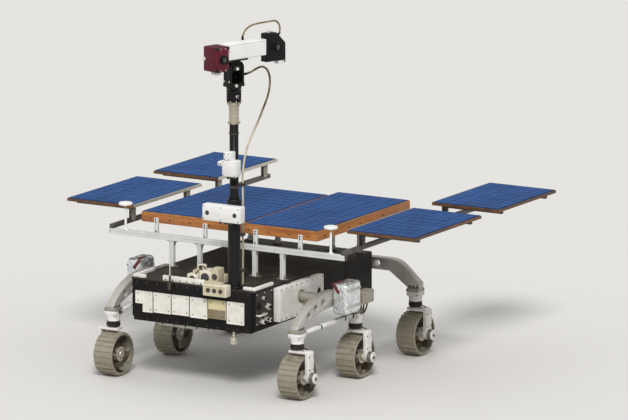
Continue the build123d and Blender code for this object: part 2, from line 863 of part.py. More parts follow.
with BuildPart() as mast_upper:
    with BuildSketch(Plane((mast_x, mast_y, mast_lower_top_z))):
        RegularPolygon((mast_lower_diameter + mast_upper_diameter) / 4, drum_sides)
    extrude(amount=mast_collar_height)
    with BuildSketch(Plane((mast_x, mast_y, mast_lower_top_z + mast_collar_height))):
        Circle(mast_upper_diameter / 2)
    extrude(amount=mast_upper_top_z - mast_lower_top_z - mast_collar_height)
save(mast_upper, "mast_upper")

with BuildPart() as mast_adapter:
    with BuildSketch(Plane((mast_x, mast_y, mast_upper_top_z))):
        RegularPolygon(adapter_diameter / 2, drum_sides)
    extrude(amount=adapter_top_z - adapter_flange_height - mast_upper_top_z)
    with BuildSketch(Plane((mast_x, mast_y, adapter_top_z - adapter_flange_height))):
        RegularPolygon(adapter_flange_diameter / 2, drum_sides)
    extrude(amount=adapter_flange_height)
save(mast_adapter, "mast_adapter")

# White boxes flat against the front of the mast, a plain one and above it one of three joined blocks
with BuildPart() as mast_camera_box:
    camera_box_x = mast_x + mast_lower_diameter / 2 + camera_box_depth / 2
    with BuildSketch(Plane((camera_box_x, camera_box_y, camera_box_bottom_z))):
        Rectangle(camera_box_depth, camera_box_width)
    extrude(amount=camera_box_height)
save(mast_camera_box, "mast_camera_box")

with BuildPart() as mast_box:
    with BuildSketch(Plane.YZ.offset(mast_x + mast_upper_diameter / 2)):
        for right, left, bottom, top in mast_box_blocks:
            with Locations((mast_y + (right + left) / 2, mast_box_bottom_z + (bottom + top) / 2)):
                Rectangle(left - right, top - bottom)
    extrude(amount=mast_box_depth)
save(mast_box, "mast_box")

# Pan base, bored for the spigot of the yoke
pan_base_top_z = adapter_top_z + pan_base_height
with BuildPart() as pan_base:
    with BuildSketch(Plane((mast_x, mast_y, adapter_top_z))):
        RegularPolygon(pan_base_diameter / 2, drum_sides)
    extrude(amount=pan_base_height)
    with Locations((mast_x, mast_y, pan_base_top_z)):
        Hole(pan_spigot_diameter / 2 + pin_clearance, pan_spigot_height + pin_clearance)
save(pan_base, "pan_base")

# Pan yoke, a turntable with two ears that carry the tilt pins
# On a head plane X is the way the head looks and Y runs along the bench, towards the black camera.
head_plane = Plane(origin=(mast_x, mast_y, 0), x_dir=(head_cos, head_sin, 0), z_dir=(0, 0, 1))
turntable_z = pan_base_top_z + pan_gap
yoke_base_z = turntable_z + turntable_height
ear_z = yoke_base_z + yoke_base_height
ear_middle = yoke_half_width - yoke_ear_thickness / 2
with BuildPart() as pan_yoke:
    with BuildSketch(head_plane.offset(pan_base_top_z - pan_spigot_height)):
        Circle(pan_spigot_diameter / 2)
    extrude(amount=pan_spigot_height + pan_gap)
    with BuildSketch(head_plane.offset(turntable_z)):
        RegularPolygon(pan_base_diameter / 2, drum_sides)
    extrude(amount=turntable_height)
    with BuildSketch(head_plane.offset(yoke_base_z)):
        Rectangle(yoke_ear_width + 10, 2 * yoke_half_width)
    extrude(amount=yoke_base_height)
    with BuildSketch(head_plane.offset(ear_z)):
        with Locations((0, ear_middle), (0, -ear_middle)):
            Rectangle(yoke_ear_width, yoke_ear_thickness)
    extrude(amount=tilt_axis_z - ear_z)
    tilt_plane = Plane(
        origin=(mast_x, mast_y, tilt_axis_z),
        x_dir=(head_cos, head_sin, 0),
        z_dir=(-head_sin, head_cos, 0),
    )
    for ear_place in (ear_middle, -ear_middle):
        with BuildSketch(tilt_plane.offset(ear_place)):
            Circle(yoke_ear_width / 2)
        extrude(amount=yoke_ear_thickness / 2, both=True)
    with BuildSketch(tilt_plane):
        Circle(tilt_pin_diameter / 2 + pin_clearance)
    extrude(amount=yoke_half_width, both=True, mode=Mode.SUBTRACT)
    gland_plane = Plane(
        origin=(mast_x - yoke_half_width * head_sin, mast_y + yoke_half_width * head_cos, gland_z),
        z_dir=(-head_sin, head_cos, 0),
    )
    with BuildSketch(gland_plane):
        RegularPolygon(gland_diameter / 2, rod_sides)
    extrude(amount=gland_length)
save(pan_yoke, "pan_yoke")

# Tilt block between the ears, with its pins and the plate under the bench
drum_half = yoke_half_width - yoke_ear_thickness - tilt_gap
tilt_plate_bottom_z = bench_bottom_z - tilt_plate_thickness
with BuildPart() as tilt_block:
    with BuildSketch(tilt_plane):
        RegularPolygon(tilt_drum_diameter / 2, drum_sides)
    extrude(amount=drum_half, both=True)
    with BuildSketch(head_plane.offset(tilt_axis_z)):
        Rectangle(tilt_drum_diameter * 0.7, 2 * drum_half)
    extrude(amount=tilt_plate_bottom_z - tilt_axis_z)
    with BuildSketch(head_plane.offset(tilt_plate_bottom_z)):
        Rectangle(tilt_plate_depth, tilt_plate_width)
    extrude(amount=tilt_plate_thickness)
    with BuildSketch(tilt_plane):
        Circle(tilt_pin_diameter / 2)
    extrude(amount=yoke_half_width - pin_clearance, both=True)
save(tilt_block, "tilt_block")

# Camera bench, the two cameras at its ends and the white feet under them
bench_length = bench_end_across - bench_start_across
bench_middle = (bench_start_across + bench_end_across) / 2
with BuildPart() as camera_bench:
    with BuildSketch(head_plane.offset(bench_bottom_z)):
        with Locations((0, bench_middle)):
            Rectangle(bench_depth, bench_length)
    extrude(amount=bench_height)
save(camera_bench, "camera_bench")

# The cable plane is upright, through the middle of the mast and of the bench. Its X runs along the bench.
cable_plane = Plane(
    origin=(mast_x, mast_y, 0),
    x_dir=(-head_sin, head_cos, 0),
    z_dir=(head_cos, head_sin, 0),
)
red_camera_middle = bench_start_across - red_camera_width / 2
black_camera_end = bench_end_across + black_camera_width
black_camera_top_z = black_camera_bottom_z + black_camera_height
with BuildPart() as camera_red:
    with BuildSketch(head_plane.offset(red_camera_bottom_z)):
        with Locations((0, red_camera_middle)):
            Rectangle(red_camera_depth, red_camera_width)
    extrude(amount=red_camera_height)
    with BuildSketch(cable_plane.offset(red_camera_depth / 2)):
        with Locations((red_camera_middle, red_camera_bottom_z + red_camera_height / 2)):
            RegularPolygon(lens_diameter / 2, drum_sides)
    extrude(amount=lens_length)
save(camera_red, "camera_red")

with BuildPart() as camera_black:
    with BuildSketch(cable_plane.offset(black_camera_forward)):
        with BuildLine():
            Polyline(
                (bench_end_across, black_camera_bottom_z),
                (black_camera_end, black_camera_bottom_z),
                (black_camera_end, black_camera_top_z - black_camera_corner_cut),
                (black_camera_end - black_camera_corner_cut, black_camera_top_z),
                (bench_end_across, black_camera_top_z),
                close=True,
            )
        make_face()
    extrude(amount=black_camera_depth / 2, both=True)
    with BuildSketch(cable_plane.offset(black_camera_forward + black_camera_depth / 2)):
        lens_place = (bench_end_across + black_camera_width / 2, black_camera_bottom_z + black_camera_height / 2)
        with Locations(lens_place):
            RegularPolygon(lens_diameter / 2, drum_sides)
    extrude(amount=lens_length)
save(camera_black, "camera_black")

camera_foot_places = (
    # ahead of the bench's middle, across, top z
    (0, red_camera_middle, red_camera_bottom_z),
    (black_camera_forward, black_camera_end - black_foot_inset, black_camera_bottom_z),
)
with BuildPart() as camera_feet:
    for ahead, across, top_z in camera_foot_places:
        with BuildSketch(head_plane.offset(top_z)):
            with Locations((ahead, across)):
                Rectangle(camera_foot_width, camera_foot_width)
        extrude(amount=-camera_foot_height)
save(camera_feet, "camera_feet")

# Cables, all in the cable plane. The head cable hangs free and the mast cable runs straight down.
def corner_radii(points):
    """Radius at each inner point: 0.45 of the shorter run over the tangent of half the turn."""
    vectors = [Vector(across, height, 0) for across, height in points]
    radii = []
    for before, corner, after in zip(vectors, vectors[1:], vectors[2:]):
        run_in = corner - before
        run_out = after - corner
        turn = radians(run_in.get_angle(run_out))
        radii.append(0.45 * min(run_in.length, run_out.length) / tan(turn / 2))
    return radii


swept_cables = (
    # name, diameter, points of the route
    ("head_cable", cable_diameter, head_cable_points),
    ("bench_cables", bench_cable_diameter, bench_cable_points),
)
for name, diameter, points in swept_cables:
    route_radii = corner_radii(points)
    with BuildPart() as cable:
        with BuildLine(cable_plane) as route:
            FilletPolyline(*points, radius=route_radii)
        with BuildSketch(Plane(origin=route.line @ 0, z_dir=route.line % 0)) as section:
            RegularPolygon(diameter / 2, cable_sides)
        sweep()
    save(cable, name)
    route_length = sum(edge.length for edge in route.edges())
    volume_ratio = cable.part.volume / (section.sketch.area * route_length)
    print(name, "length", round(route_length), "radii", [round(r) for r in route_radii])
    print(name, "volume ratio", volume_ratio)

cable_x = mast_x - cable_standoff * head_sin
cable_y = mast_y + cable_standoff * head_cos
cable_top_z = head_cable_points[-1][1]
with BuildPart() as mast_cable:
    with BuildSketch(Plane((cable_x, cable_y, deck_z))):
        RegularPolygon(cable_diameter / 2, cable_sides)
    extrude(amount=cable_top_z - deck_z)
save(mast_cable, "mast_cable")

# Clips that hold the cable off the mast, each with a round saddle against its tube and a square eye
with BuildPart() as cable_clips:
    for clip_z in cable_clip_zs:
        tube_radius = (mast_lower_diameter if clip_z < mast_lower_top_z else mast_upper_diameter) / 2
        clip_end = cable_standoff + cable_diameter
        clip_origin = (mast_x, mast_y, clip_z - clip_height / 2)
        with BuildSketch(Plane(origin=clip_origin, x_dir=(-head_sin, head_cos, 0))):
            with Locations((clip_end / 2, 0)):
                Rectangle(clip_end, clip_width)
            Circle(tube_radius + pin_clearance, mode=Mode.SUBTRACT)
            with Locations((cable_standoff, 0)):
                clip_eye = cable_diameter + 2 * pin_clearance
                Rectangle(clip_eye, clip_eye, mode=Mode.SUBTRACT)
        extrude(amount=clip_height)
save(cable_clips, "cable_clips")
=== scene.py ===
# Looks of a six-wheeled planetary rover prototype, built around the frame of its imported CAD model.
# The sections follow the rover as it is put together, and every length is in metres.
import math
from itertools import product

import bmesh
import bpy
from mathutils import Matrix, Vector, noise


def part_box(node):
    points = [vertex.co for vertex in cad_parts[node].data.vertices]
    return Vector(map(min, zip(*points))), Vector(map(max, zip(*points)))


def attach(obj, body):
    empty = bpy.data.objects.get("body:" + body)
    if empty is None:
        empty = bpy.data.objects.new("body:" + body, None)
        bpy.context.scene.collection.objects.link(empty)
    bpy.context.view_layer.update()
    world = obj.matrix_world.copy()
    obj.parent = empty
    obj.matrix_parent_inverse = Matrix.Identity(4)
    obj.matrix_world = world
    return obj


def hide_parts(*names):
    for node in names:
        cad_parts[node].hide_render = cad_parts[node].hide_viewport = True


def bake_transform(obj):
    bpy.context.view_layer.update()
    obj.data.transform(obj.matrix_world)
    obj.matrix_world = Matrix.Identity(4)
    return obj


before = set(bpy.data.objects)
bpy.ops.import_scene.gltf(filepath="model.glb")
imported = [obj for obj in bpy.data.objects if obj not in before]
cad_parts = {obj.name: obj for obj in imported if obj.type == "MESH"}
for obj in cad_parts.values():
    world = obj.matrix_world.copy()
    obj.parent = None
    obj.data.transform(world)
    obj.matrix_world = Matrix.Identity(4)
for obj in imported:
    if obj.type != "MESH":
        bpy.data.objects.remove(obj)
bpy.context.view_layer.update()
scene = bpy.context.scene
X, Y, Z = Vector((1, 0, 0)), Vector((0, 1, 0)), Vector((0, 0, 1))


# Camera, floor and light. A long lens looks at the rover from its front left and 11 degrees above the
# ground, over a pale studio floor, under a wide soft lamp and an even sky.
view_azimuth = math.radians(120.5)
view_elevation = math.radians(11.3)
view_width = 3.556
view_target = Vector((-0.0885, 0.1504, 0.8575))
camera_distance = 40.0
level_share = math.cos(view_elevation)
towards_camera = Vector(
    (math.sin(view_azimuth) * level_share, -math.cos(view_azimuth) * level_share, math.sin(view_elevation))
)
camera = bpy.data.objects.new("camera", bpy.data.cameras.new("camera"))
camera.data.lens = camera.data.sensor_width * camera_distance / view_width
camera.data.clip_end = 200
camera.location = view_target + camera_distance * towards_camera
camera.rotation_euler = (-towards_camera).to_track_quat("-Z", "Y").to_euler()
scene.collection.objects.link(camera)
scene.camera = camera
scene.view_settings.view_transform = "Standard"


def linear(code):
    """Turn an sRGB hex colour into the linear colour that a shader takes."""
    channels = [int(code[place : place + 2], 16) / 255 for place in (1, 3, 5)]
    return [c / 12.92 if c <= 0.04045 else ((c + 0.055) / 1.055) ** 2.4 for c in channels] + [1.0]


def add_node(tree, kind, inputs=None, **settings):
    """Add a shader node. Each input takes a value, or the output socket of another node."""
    made = tree.nodes.new("ShaderNode" + kind)
    for name, value in settings.items():
        setattr(made, name, value)
    for key, value in (inputs or {}).items():
        if isinstance(value, bpy.types.NodeSocket):
            tree.links.new(value, made.inputs[key])
        else:
            made.inputs[key].default_value = value
    return made


def calculate(tree, operation, *values):
    """The result of a sum on values or sockets."""
    return add_node(tree, "Math", dict(enumerate(values)), operation=operation).outputs[0]


def mix_colours(tree, factor, first, second):
    """A mix of two colours, each a hex colour, a linear one or a socket."""
    first, second = [linear(one) if isinstance(one, str) else one for one in (first, second)]
    return add_node(tree, "Mix", {"Factor": factor, 6: first, 7: second}, data_type="RGBA").outputs[2]


def clouds(tree, place, scale, detail=2.0, **more):
    """The value of a noise texture."""
    return add_node(
        tree, "TexNoise", {"Vector": place, "Scale": scale, "Detail": detail, **more},
    ).outputs["Fac"]


def remap(tree, value, low=0.0, high=1.0, to_low=0.0, to_high=1.0):
    """A value stretched from one range to another."""
    limits = {"From Min": low, "From Max": high, "To Min": to_low, "To Max": to_high}
    return add_node(tree, "MapRange", {"Value": value, **limits}).outputs["Result"]


def bump(tree, height, strength, distance):
    """A normal for a fine relief."""
    return add_node(tree, "Bump", {"Height": height, "Strength": strength, "Distance": distance}).outputs[0]


def seen_directly(tree):
    """An output that is 1 where the camera, a gloss or a glass looks straight at the backdrop."""
    path = add_node(tree, "LightPath").outputs
    gloss = calculate(tree, "MAXIMUM", path["Is Glossy Ray"], path["Is Transmission Ray"])
    return calculate(tree, "MAXIMUM", path["Is Camera Ray"], gloss)


floor_mesh = bpy.data.meshes.new("studio_floor")
floor_bm = bmesh.new()
bmesh.ops.create_circle(floor_bm, cap_ends=True, segments=64, radius=45)
floor_bm.to_mesh(floor_mesh)
floor_bm.free()
studio_floor = bpy.data.objects.new("studio_floor", floor_mesh)
studio_floor.location.z = -0.0005
scene.collection.objects.link(studio_floor)
floor_paint = bpy.data.materials.new("studio_floor_paint")
floor_paint.use_nodes = True
floor_tree = floor_paint.node_tree
floor_shader = floor_tree.nodes["Principled BSDF"]
# The floor that lights the rover from below is darker than the floor that the camera sees.
floor_colour = mix_colours(floor_tree, seen_directly(floor_tree), "#A8A49C", "#E3E0DA")
floor_tree.links.new(floor_colour, floor_shader.inputs["Base Color"])
floor_shader.inputs["Roughness"].default_value = 0.9
floor_mesh.materials.append(floor_paint)

world = bpy.data.worlds.new("studio")
world.use_nodes = True
scene.world = world
sky_tree = world.node_tree
sky_light = sky_tree.nodes["Background"]
sky_light.inputs["Color"].default_value = linear("#F4F6FA")
sky_light.inputs["Strength"].default_value = 0.62
sky_seen = add_node(sky_tree, "Background", {"Color": linear("#E9E7E2"), "Strength": 1.0})
sky_parts = {0: seen_directly(sky_tree), 1: sky_light.outputs[0], 2: sky_seen.outputs[0]}
sky_mix = add_node(sky_tree, "MixShader", sky_parts)
sky_tree.links.new(sky_mix.outputs[0], sky_tree.nodes["World Output"].inputs["Surface"])

key_lamp = bpy.data.objects.new("key_lamp", bpy.data.lights.new("key_lamp", "SUN"))
key_lamp.data.energy = 2.2
key_lamp.data.angle = math.radians(16)
key_lamp.rotation_euler = Vector((-1.0, -0.6, -1.0)).to_track_quat("-Z", "Y").to_euler()
scene.collection.objects.link(key_lamp)


# Head cable. A round jacketed cable leaves a gland on the pan yoke, bows out beside the mast and comes
# back to its clip. Its sleeve is braided, brown with dust above and bleached to cream lower down.
cable_diameter = 0.012
head_yaw = math.radians(71.6)
head_cable_points = (
    # across, height
    (0.064, 1.800), (0.110, 1.800), (0.156, 1.818), (0.202, 1.830), (0.240, 1.812), (0.262, 1.768),
    (0.262, 1.710), (0.246, 1.652), (0.214, 1.594), (0.184, 1.536), (0.150, 1.482), (0.122, 1.436),
    (0.094, 1.384), (0.074, 1.322), (0.062, 1.254), (0.062, 1.190),
)


def middle_of(name):
    """The middle of the box round a CAD node."""
    low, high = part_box(name)
    return (low + high) / 2


def start_material(name, roughness, metallic=0.0):
    """Make a material. Returns it with its node tree, its shader and its Object coordinates."""
    material = bpy.data.materials.new(name)
    material.use_nodes = True
    tree = material.node_tree
    shader = tree.nodes["Principled BSDF"]
    for key, value in (("Roughness", roughness), ("Metallic", metallic), ("IOR", 1.5)):
        shader.inputs[key].default_value = value
    return material, tree, shader, add_node(tree, "TexCoord").outputs["Object"]


def wire(tree, shader, **sockets):
    """Link the colour, relief, roughness or metal of a shader to the given sockets."""
    keys = {"colour": "Base Color", "relief": "Normal", "rough": "Roughness", "metal": "Metallic"}
    for name, socket in sockets.items():
        tree.links.new(socket, shader.inputs[keys[name]])


mast_x, mast_y = middle_of("mast_lower").xy
mast_line = Vector((mast_x, mast_y, 0))


def head_place(look, across, height):
    """A point given along the way the head looks, across it and up, in the rover's own frame."""
    cos_yaw, sin_yaw = math.cos(head_yaw), math.sin(head_yaw)
    return mast_line + Vector((look * cos_yaw - across * sin_yaw, look * sin_yaw + across * cos_yaw, height))


def smooth_route(name, points, radius):
    """A tube mesh and its centreline, both read from one NURBS spline through the route's points."""
    curve = bpy.data.curves.new(name, "CURVE")
    curve.dimensions = "3D"
    curve.resolution_u = 10
    spline = curve.splines.new("NURBS")
    spline.points.add(len(points) - 1)
    for control, point in zip(spline.points, points):
        control.co = (*point, 1)
    spline.order_u = 3
    spline.use_endpoint_u = True
    holder = bpy.data.objects.new(name + "_route", curve)
    scene.collection.objects.link(holder)
    graph = bpy.context.evaluated_depsgraph_get()
    line = bpy.data.meshes.new_from_object(holder.evaluated_get(graph))
    centreline = [vertex.co.copy() for vertex in line.vertices]
    curve.bevel_depth = radius
    curve.bevel_resolution = 4
    curve.use_fill_caps = True
    bpy.context.view_layer.update()
    graph = bpy.context.evaluated_depsgraph_get()
    tube = bpy.data.meshes.new_from_object(holder.evaluated_get(graph))
    tube.name = name
    bpy.data.objects.remove(holder)
    return tube, centreline


def cable_sleeve(name, upper, lower, fade_from, fade_to):
    """Braided polyester sleeve: a soft fibre, so it is matt, with a fine woven relief and dust in it."""
    # The real braid repeats every 2 mm; it is drawn at 6 mm so that it shows.
    braid_scale = 1 / 0.006
    material, tree, shader, place = start_material(name, 0.75)
    height = add_node(tree, "SeparateXYZ", {0: place}).outputs["Z"]
    shade = mix_colours(tree, remap(tree, height, fade_from, fade_to), lower, upper)
    dust_and_sheen = remap(tree, clouds(tree, place, 35.0, 4.0), 0.45, 0.9)
    braid = add_node(tree, "TexVoronoi", {"Vector": place, "Scale": braid_scale}).outputs["Distance"]
    wire(
        tree, shader, colour=mix_colours(tree, dust_and_sheen, shade, "#A89A7C"),
        relief=bump(tree, braid, 0.5, 0.0008),
    )
    return material


def free_cable(name, points, diameter, sleeve):
    """A sleeved cable along points of (across, height) on the head. Returns it, its points and centreline."""
    route = [head_place(0, across, height) for across, height in points]
    mesh, line = smooth_route(name, route, diameter / 2)
    mesh.materials.append(sleeve)
    mesh.polygons.foreach_set("use_smooth", [True] * len(mesh.polygons))
    cable = bpy.data.objects.new(name, mesh)
    scene.collection.objects.link(cable)
    return cable, route, line


head_sleeve = cable_sleeve("braided_sleeve_brown", "#4B3A26", "#CFC6AC", 1.45, 1.58)
head_cable, head_route, cable_line = free_cable(
    "head_cable_sleeve", head_cable_points, cable_diameter, head_sleeve
)
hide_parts("head_cable")
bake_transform(head_cable)


# Wheels. Each is a rolled hoop of bare sheet metal with folded lugs riveted on, held by six curved
# leaf springs to a drum hub. They are driven through sand, so dust sits on all of the metal.
wheel_names = sorted(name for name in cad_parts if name.startswith("wheel_"))
wheel_radius = 0.125
wheel_half_width = 0.060
hoop_radius = 0.119
hoop_thickness = 0.003
hoop_fold = 0.002
hoop_lip = 0.011
lug_count = 24
lug_thickness = 0.005
leaf_count = 6
leaf_half_width = 0.035
leaf_thickness = 0.003
hub_radius = 0.034
hub_half_width = 0.050
hub_bore = 0.0155
flange_radius = 0.041


def dust_and_sheen_finish(name, paint, dust_and_sheen, roughness, metallic=0.0, cover=(0.75, 0.2), patch=0.05, specular=0.5):
    """A painted or bare metal with blotches that thicken towards the ground. They are dust, except on the red
    camera, where their pink colour is a painted highlight.

    cover is how much dust lies near the ground and high up, and patch is the usual size of a blotch.
    Dust is matt, so it raises the roughness and hides the metal. specular is 0.5 for a smooth paint,
    and less where the paint is so matt that it hardly reflects.
    """
    material, tree, shader, place = start_material(name, roughness, metallic)
    shader.inputs["Specular IOR Level"].default_value = specular
    height = add_node(tree, "SeparateXYZ", {0: place}).outputs["Z"]
    blotch = remap(tree, clouds(tree, place, 1 / patch, 6.0, Roughness=0.6), 0.32, 0.7)
    dust_and_sheen_mask = calculate(tree, "MULTIPLY", remap(tree, height, 0.05, 0.8, *cover), blotch)
    dark, light = [
        [min(1.0, tone * channel) for channel in linear(paint)[:3]] + [1.0] for tone in (0.86, 1.12)
    ]
    base = mix_colours(tree, clouds(tree, place, 9.0, 3.0), dark, light)
    relief = bump(tree, clouds(tree, place, 260.0), 0.25, 0.0006)
    rough = remap(tree, dust_and_sheen_mask, to_low=roughness, to_high=0.9)
    # The blotches show dust, and on the red camera a pink painted highlight.
    wire(tree, shader, colour=mix_colours(tree, dust_and_sheen_mask, base, dust_and_sheen), rough=rough, relief=relief)
    if metallic:
        wire(tree, shader, metal=remap(tree, dust_and_sheen_mask, to_low=metallic, to_high=0.0))
    return material


def round_edges(bm, faces, width, steps, sharpest=40):
    """Bevel the outward edges of the given faces that are sharper than the given angle."""
    edges = set(edge for face in faces for edge in face.edges)
    limit = math.radians(sharpest)
    sharp = [
        edge for edge in edges if edge.is_manifold and edge.is_convex and edge.calc_face_angle(0) > limit
    ]
    if sharp and width:
        bmesh.ops.bevel(
            bm, geom=sharp, offset=width, offset_type="OFFSET", segments=steps, profile=0.5, affect="EDGES",
            material=-1, clamp_overlap=True,
        )


def faces_on(verts):
    """All the faces that touch the given vertices."""
    return list({face for vert in verts for face in vert.link_faces})


def verts_in(elements):
    """The vertices among the elements that an operator gives back."""
    return [element for element in elements if isinstance(element, bmesh.types.BMVert)]


def colour_faces(faces, finish):
    """Give faces the material of the given number."""
    for face in faces:
        face.material_index = finish


def add_block(bm, low, high, rounding=0.0, finish=0, steps=2, turn=None):
    """Add a box between two corners, with rounded edges, turned by a matrix about its middle if given."""
    low, high = [Vector([pick(*pair) for pair in zip(low, high)]) for pick in (min, max)]
    matrix = Matrix.Translation((low + high) / 2) @ (turn or Matrix()).to_4x4()
    verts = bmesh.ops.create_cube(bm, size=1, matrix=matrix @ Matrix.Diagonal((*(high - low), 1)))["verts"]
    faces = faces_on(verts)
    colour_faces(faces, finish)
    round_edges(bm, faces, rounding, steps)


def add_drum(bm, start, reach, radius, end_radius=None, sides=32, rounding=0.0, finish=0):
    """Add a closed drum or cone from a point along a vector, with rounded rims."""
    start = Vector(start)
    end = start + Vector(reach)
    axis = end - start
    end_radius = radius if end_radius is None else end_radius
    matrix = Matrix.Translation((start + end) / 2) @ axis.to_track_quat("Z", "Y").to_matrix().to_4x4()
    faces = faces_on(
        bmesh.ops.create_cone(
            bm, cap_ends=True, segments=sides, radius1=radius, radius2=end_radius, depth=axis.length,
            matrix=matrix,
        )["verts"]
    )
    colour_faces(faces, finish)
    round_edges(bm, faces, rounding, 2, sharpest=62)


def add_bolts(bm, seats, out, size=0.005, finish=1):
    """Add hexagon heads on washers. size is half a head's width, and out is the way they point."""
    out = Vector(out).normalized()
    for seat in seats:
        seat = Vector(seat)
        add_drum(bm, seat - 0.0005 * out, (0.0005 + 0.2 * size) * out, 1.45 * size, sides=12, finish=finish)
        add_drum(bm, seat, 0.9 * size * out, size, 0.92 * size, sides=6, finish=finish)


def grid(*ranges):
    """All the points with the given x, y and z, each of them one number or several."""
    return [Vector(point) for point in product(*(r if hasattr(r, "__len__") else (r,) for r in ranges))]


def row(first, step, count):
    """Evenly spaced numbers."""
    return [first + n * step for n in range(count)]


def ring(count, share=0.0, first=X, second=Y):
    """Directions evenly round a circle, the first of them turned by a share of their spacing."""
    angles = [2 * math.pi * (n + share) / count for n in range(count)]
    return [math.cos(angle) * first + math.sin(angle) * second for angle in angles]


def spin_profile(bm, profile, centre, axis=Z, start_dir=X, steps=48, angle=2 * math.pi, finish=0):
    """Turn a closed outline of (distance out, distance along) about an axis into a solid of revolution."""
    axis, start_dir, centre = Vector(axis), Vector(start_dir), Vector(centre)
    verts = [bm.verts.new(centre + out * start_dir + along * axis) for out, along in profile]
    pairs = [(n, (n + 1) % len(verts)) for n in range(len(verts))]
    edges = [bm.edges.new((verts[n], verts[m])) for n, m in pairs if profile[n][0] or profile[m][0]]
    full = abs(angle) > 6.28
    before = set(bm.faces)
    if not full:
        bm.faces.new(verts)
    made = bmesh.ops.spin(
        bm, geom=verts + edges, cent=centre, axis=axis, dvec=(0, 0, 0), angle=angle, steps=steps,
        use_merge=full, use_normal_flip=False, use_duplicate=False,
    )
    if not full:
        bmesh.ops.contextual_create(bm, geom=verts_in(made["geom_last"]))
    turned = {vert for face in bm.faces if face not in before for vert in face.verts}
    bmesh.ops.remove_doubles(bm, verts=list(turned), dist=1e-6)
    faces = [face for face in bm.faces if face not in before]
    colour_faces(faces, finish)
    bmesh.ops.recalc_face_normals(bm, faces=faces)


def mirrored(half):
    """A closed outline from the half of it that lies above zero."""
    return [*half, *((out, -along) for out, along in reversed(half))]


def finish_piece(name, bm, materials, slot, *nodes, body="root", sharp_angle=32):
    """Make a bmesh a piece that rides on a body and stands for its CAD nodes."""
    mesh = bpy.data.meshes.new(name)
    bm.normal_update()
    bm.to_mesh(mesh)
    bm.free()
    for material in materials:
        mesh.materials.append(material)
    mesh.polygons.foreach_set("use_smooth", [True] * len(mesh.polygons))
    mesh.set_sharp_from_angle(angle=math.radians(sharp_angle))
    piece = bpy.data.objects.new(name, mesh)
    scene.collection.objects.link(piece)
    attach(piece, body)
    if nodes:
        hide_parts(*nodes)


def side_of(name):
    """1 for a piece on the rover's left and -1 for one on its right."""
    return 1 if name.endswith("left") else -1


rolled_sheet = dust_and_sheen_finish("rolled_aluminium_sheet", "#9C988C", "#A59C84", 0.42, 0.75, (0.9, 0.7), 0.03)
spring_strip = dust_and_sheen_finish("spring_strip_metal", "#5C564B", "#75684F", 0.5, 0.7, (0.85, 0.5), 0.025)
hub_metal = dust_and_sheen_finish("turned_hub_aluminium", "#C9C5BA", "#B9A98A", 0.3, 0.8, (0.5, 0.3), 0.02)
hoop_inner = hoop_radius - hoop_thickness
lip_radius = hoop_radius - hoop_lip
wall_y = wheel_half_width - hoop_thickness
hoop_profile = mirrored(
    (
        (hoop_radius, wheel_half_width - hoop_fold), (hoop_radius - hoop_fold, wheel_half_width),
        (lip_radius, wheel_half_width), (lip_radius, wall_y), (hoop_inner, wall_y),
    )
)
leaf_radius = (hoop_inner - hub_radius) / 2
leaf_profile = mirrored([(leaf_radius + way * leaf_thickness / 2, leaf_half_width) for way in (1, -1)])
hub_profile = mirrored(
    (
        (hub_radius, hub_half_width - 0.011), (flange_radius, hub_half_width - 0.009),
        (flange_radius, hub_half_width - 0.003), (0.031, hub_half_width), (hub_bore, hub_half_width),
    )
)
lug_half_length = wheel_half_width - 0.001
for name in wheel_names:
    side = side_of(name)
    wheel = bmesh.new()
    spin_profile(wheel, hoop_profile, (0, 0, 0), Y, steps=72)
    for n in range(lug_count):
        before = set(wheel.verts)
        lug_foot = Vector((hoop_radius - 0.001, -lug_half_length, -lug_thickness / 2))
        add_block(wheel, lug_foot, (wheel_radius, lug_half_length, lug_thickness / 2), 0.0012, steps=1)
        strip_foot = (hoop_radius - 0.001, 0.003 - lug_half_length, -0.009)
        add_block(wheel, strip_foot, (hoop_radius + 0.0012, lug_half_length - 0.003, 0.009))
        for seat in grid(hoop_radius + 0.001, (-0.040, 0.0, 0.040), (-0.006, 0.006)):
            add_drum(wheel, seat, 0.0012 * X, 0.0018, 0.001, sides=6, finish=2)
        turn = Matrix.Rotation(2 * math.pi * n / lug_count, 4, "Y")
        bmesh.ops.transform(wheel, matrix=turn, verts=[vert for vert in wheel.verts if vert not in before])
    for n in range(leaf_count):
        before = set(wheel.verts)
        leaf_centre = (hub_radius + leaf_radius, 0, 0)
        spin_profile(wheel, leaf_profile, leaf_centre, Y, -X, 18, -side * math.pi, finish=1)
        clamp_half = leaf_half_width - 0.004
        for clamp_x in (hoop_inner - 0.005, hub_radius - 0.001):
            add_block(
                wheel, (clamp_x, -clamp_half, -0.010), (clamp_x + 0.005, clamp_half, 0.010), 0.001, 2, 1,
            )
        add_bolts(wheel, grid(hoop_inner - 0.005, (-0.018, 0.018), 0), -X, 0.004, 2)
        turn = Matrix.Rotation(2 * math.pi * n / leaf_count, 4, "Y")
        bmesh.ops.transform(wheel, matrix=turn, verts=[vert for vert in wheel.verts if vert not in before])
    spin_profile(wheel, hub_profile, (0, 0, 0), Y, steps=40, finish=2)
    for end in (-1, 1):
        seats = [0.0275 * way + end * hub_half_width * Y for way in ring(8, 0.5, X, Z)]
        add_bolts(wheel, seats, end * Y, 0.0028)
    cap_start = -side * (hub_half_width + 0.0005) * Y
    add_drum(wheel, cap_start, -side * 0.006 * Y, 0.021, 0.017, rounding=0.001, finish=2)
    bmesh.ops.translate(wheel, verts=wheel.verts, vec=middle_of(name))
    finish_piece(
        "dressed_" + name, wheel, (rolled_sheet, spring_strip, hub_metal), "wheel_metal", name, body=name,
    )


# Legs. Each is the knuckle of one steered wheel, milled from aluminium plate and painted white, with the
# drive motor bolted on its outer face and a lead from the motor running up its edge.
leg_inner_gap = 0.066
leg_thickness = 0.024
leg_head_z = 0.276
motor_end = 0.120


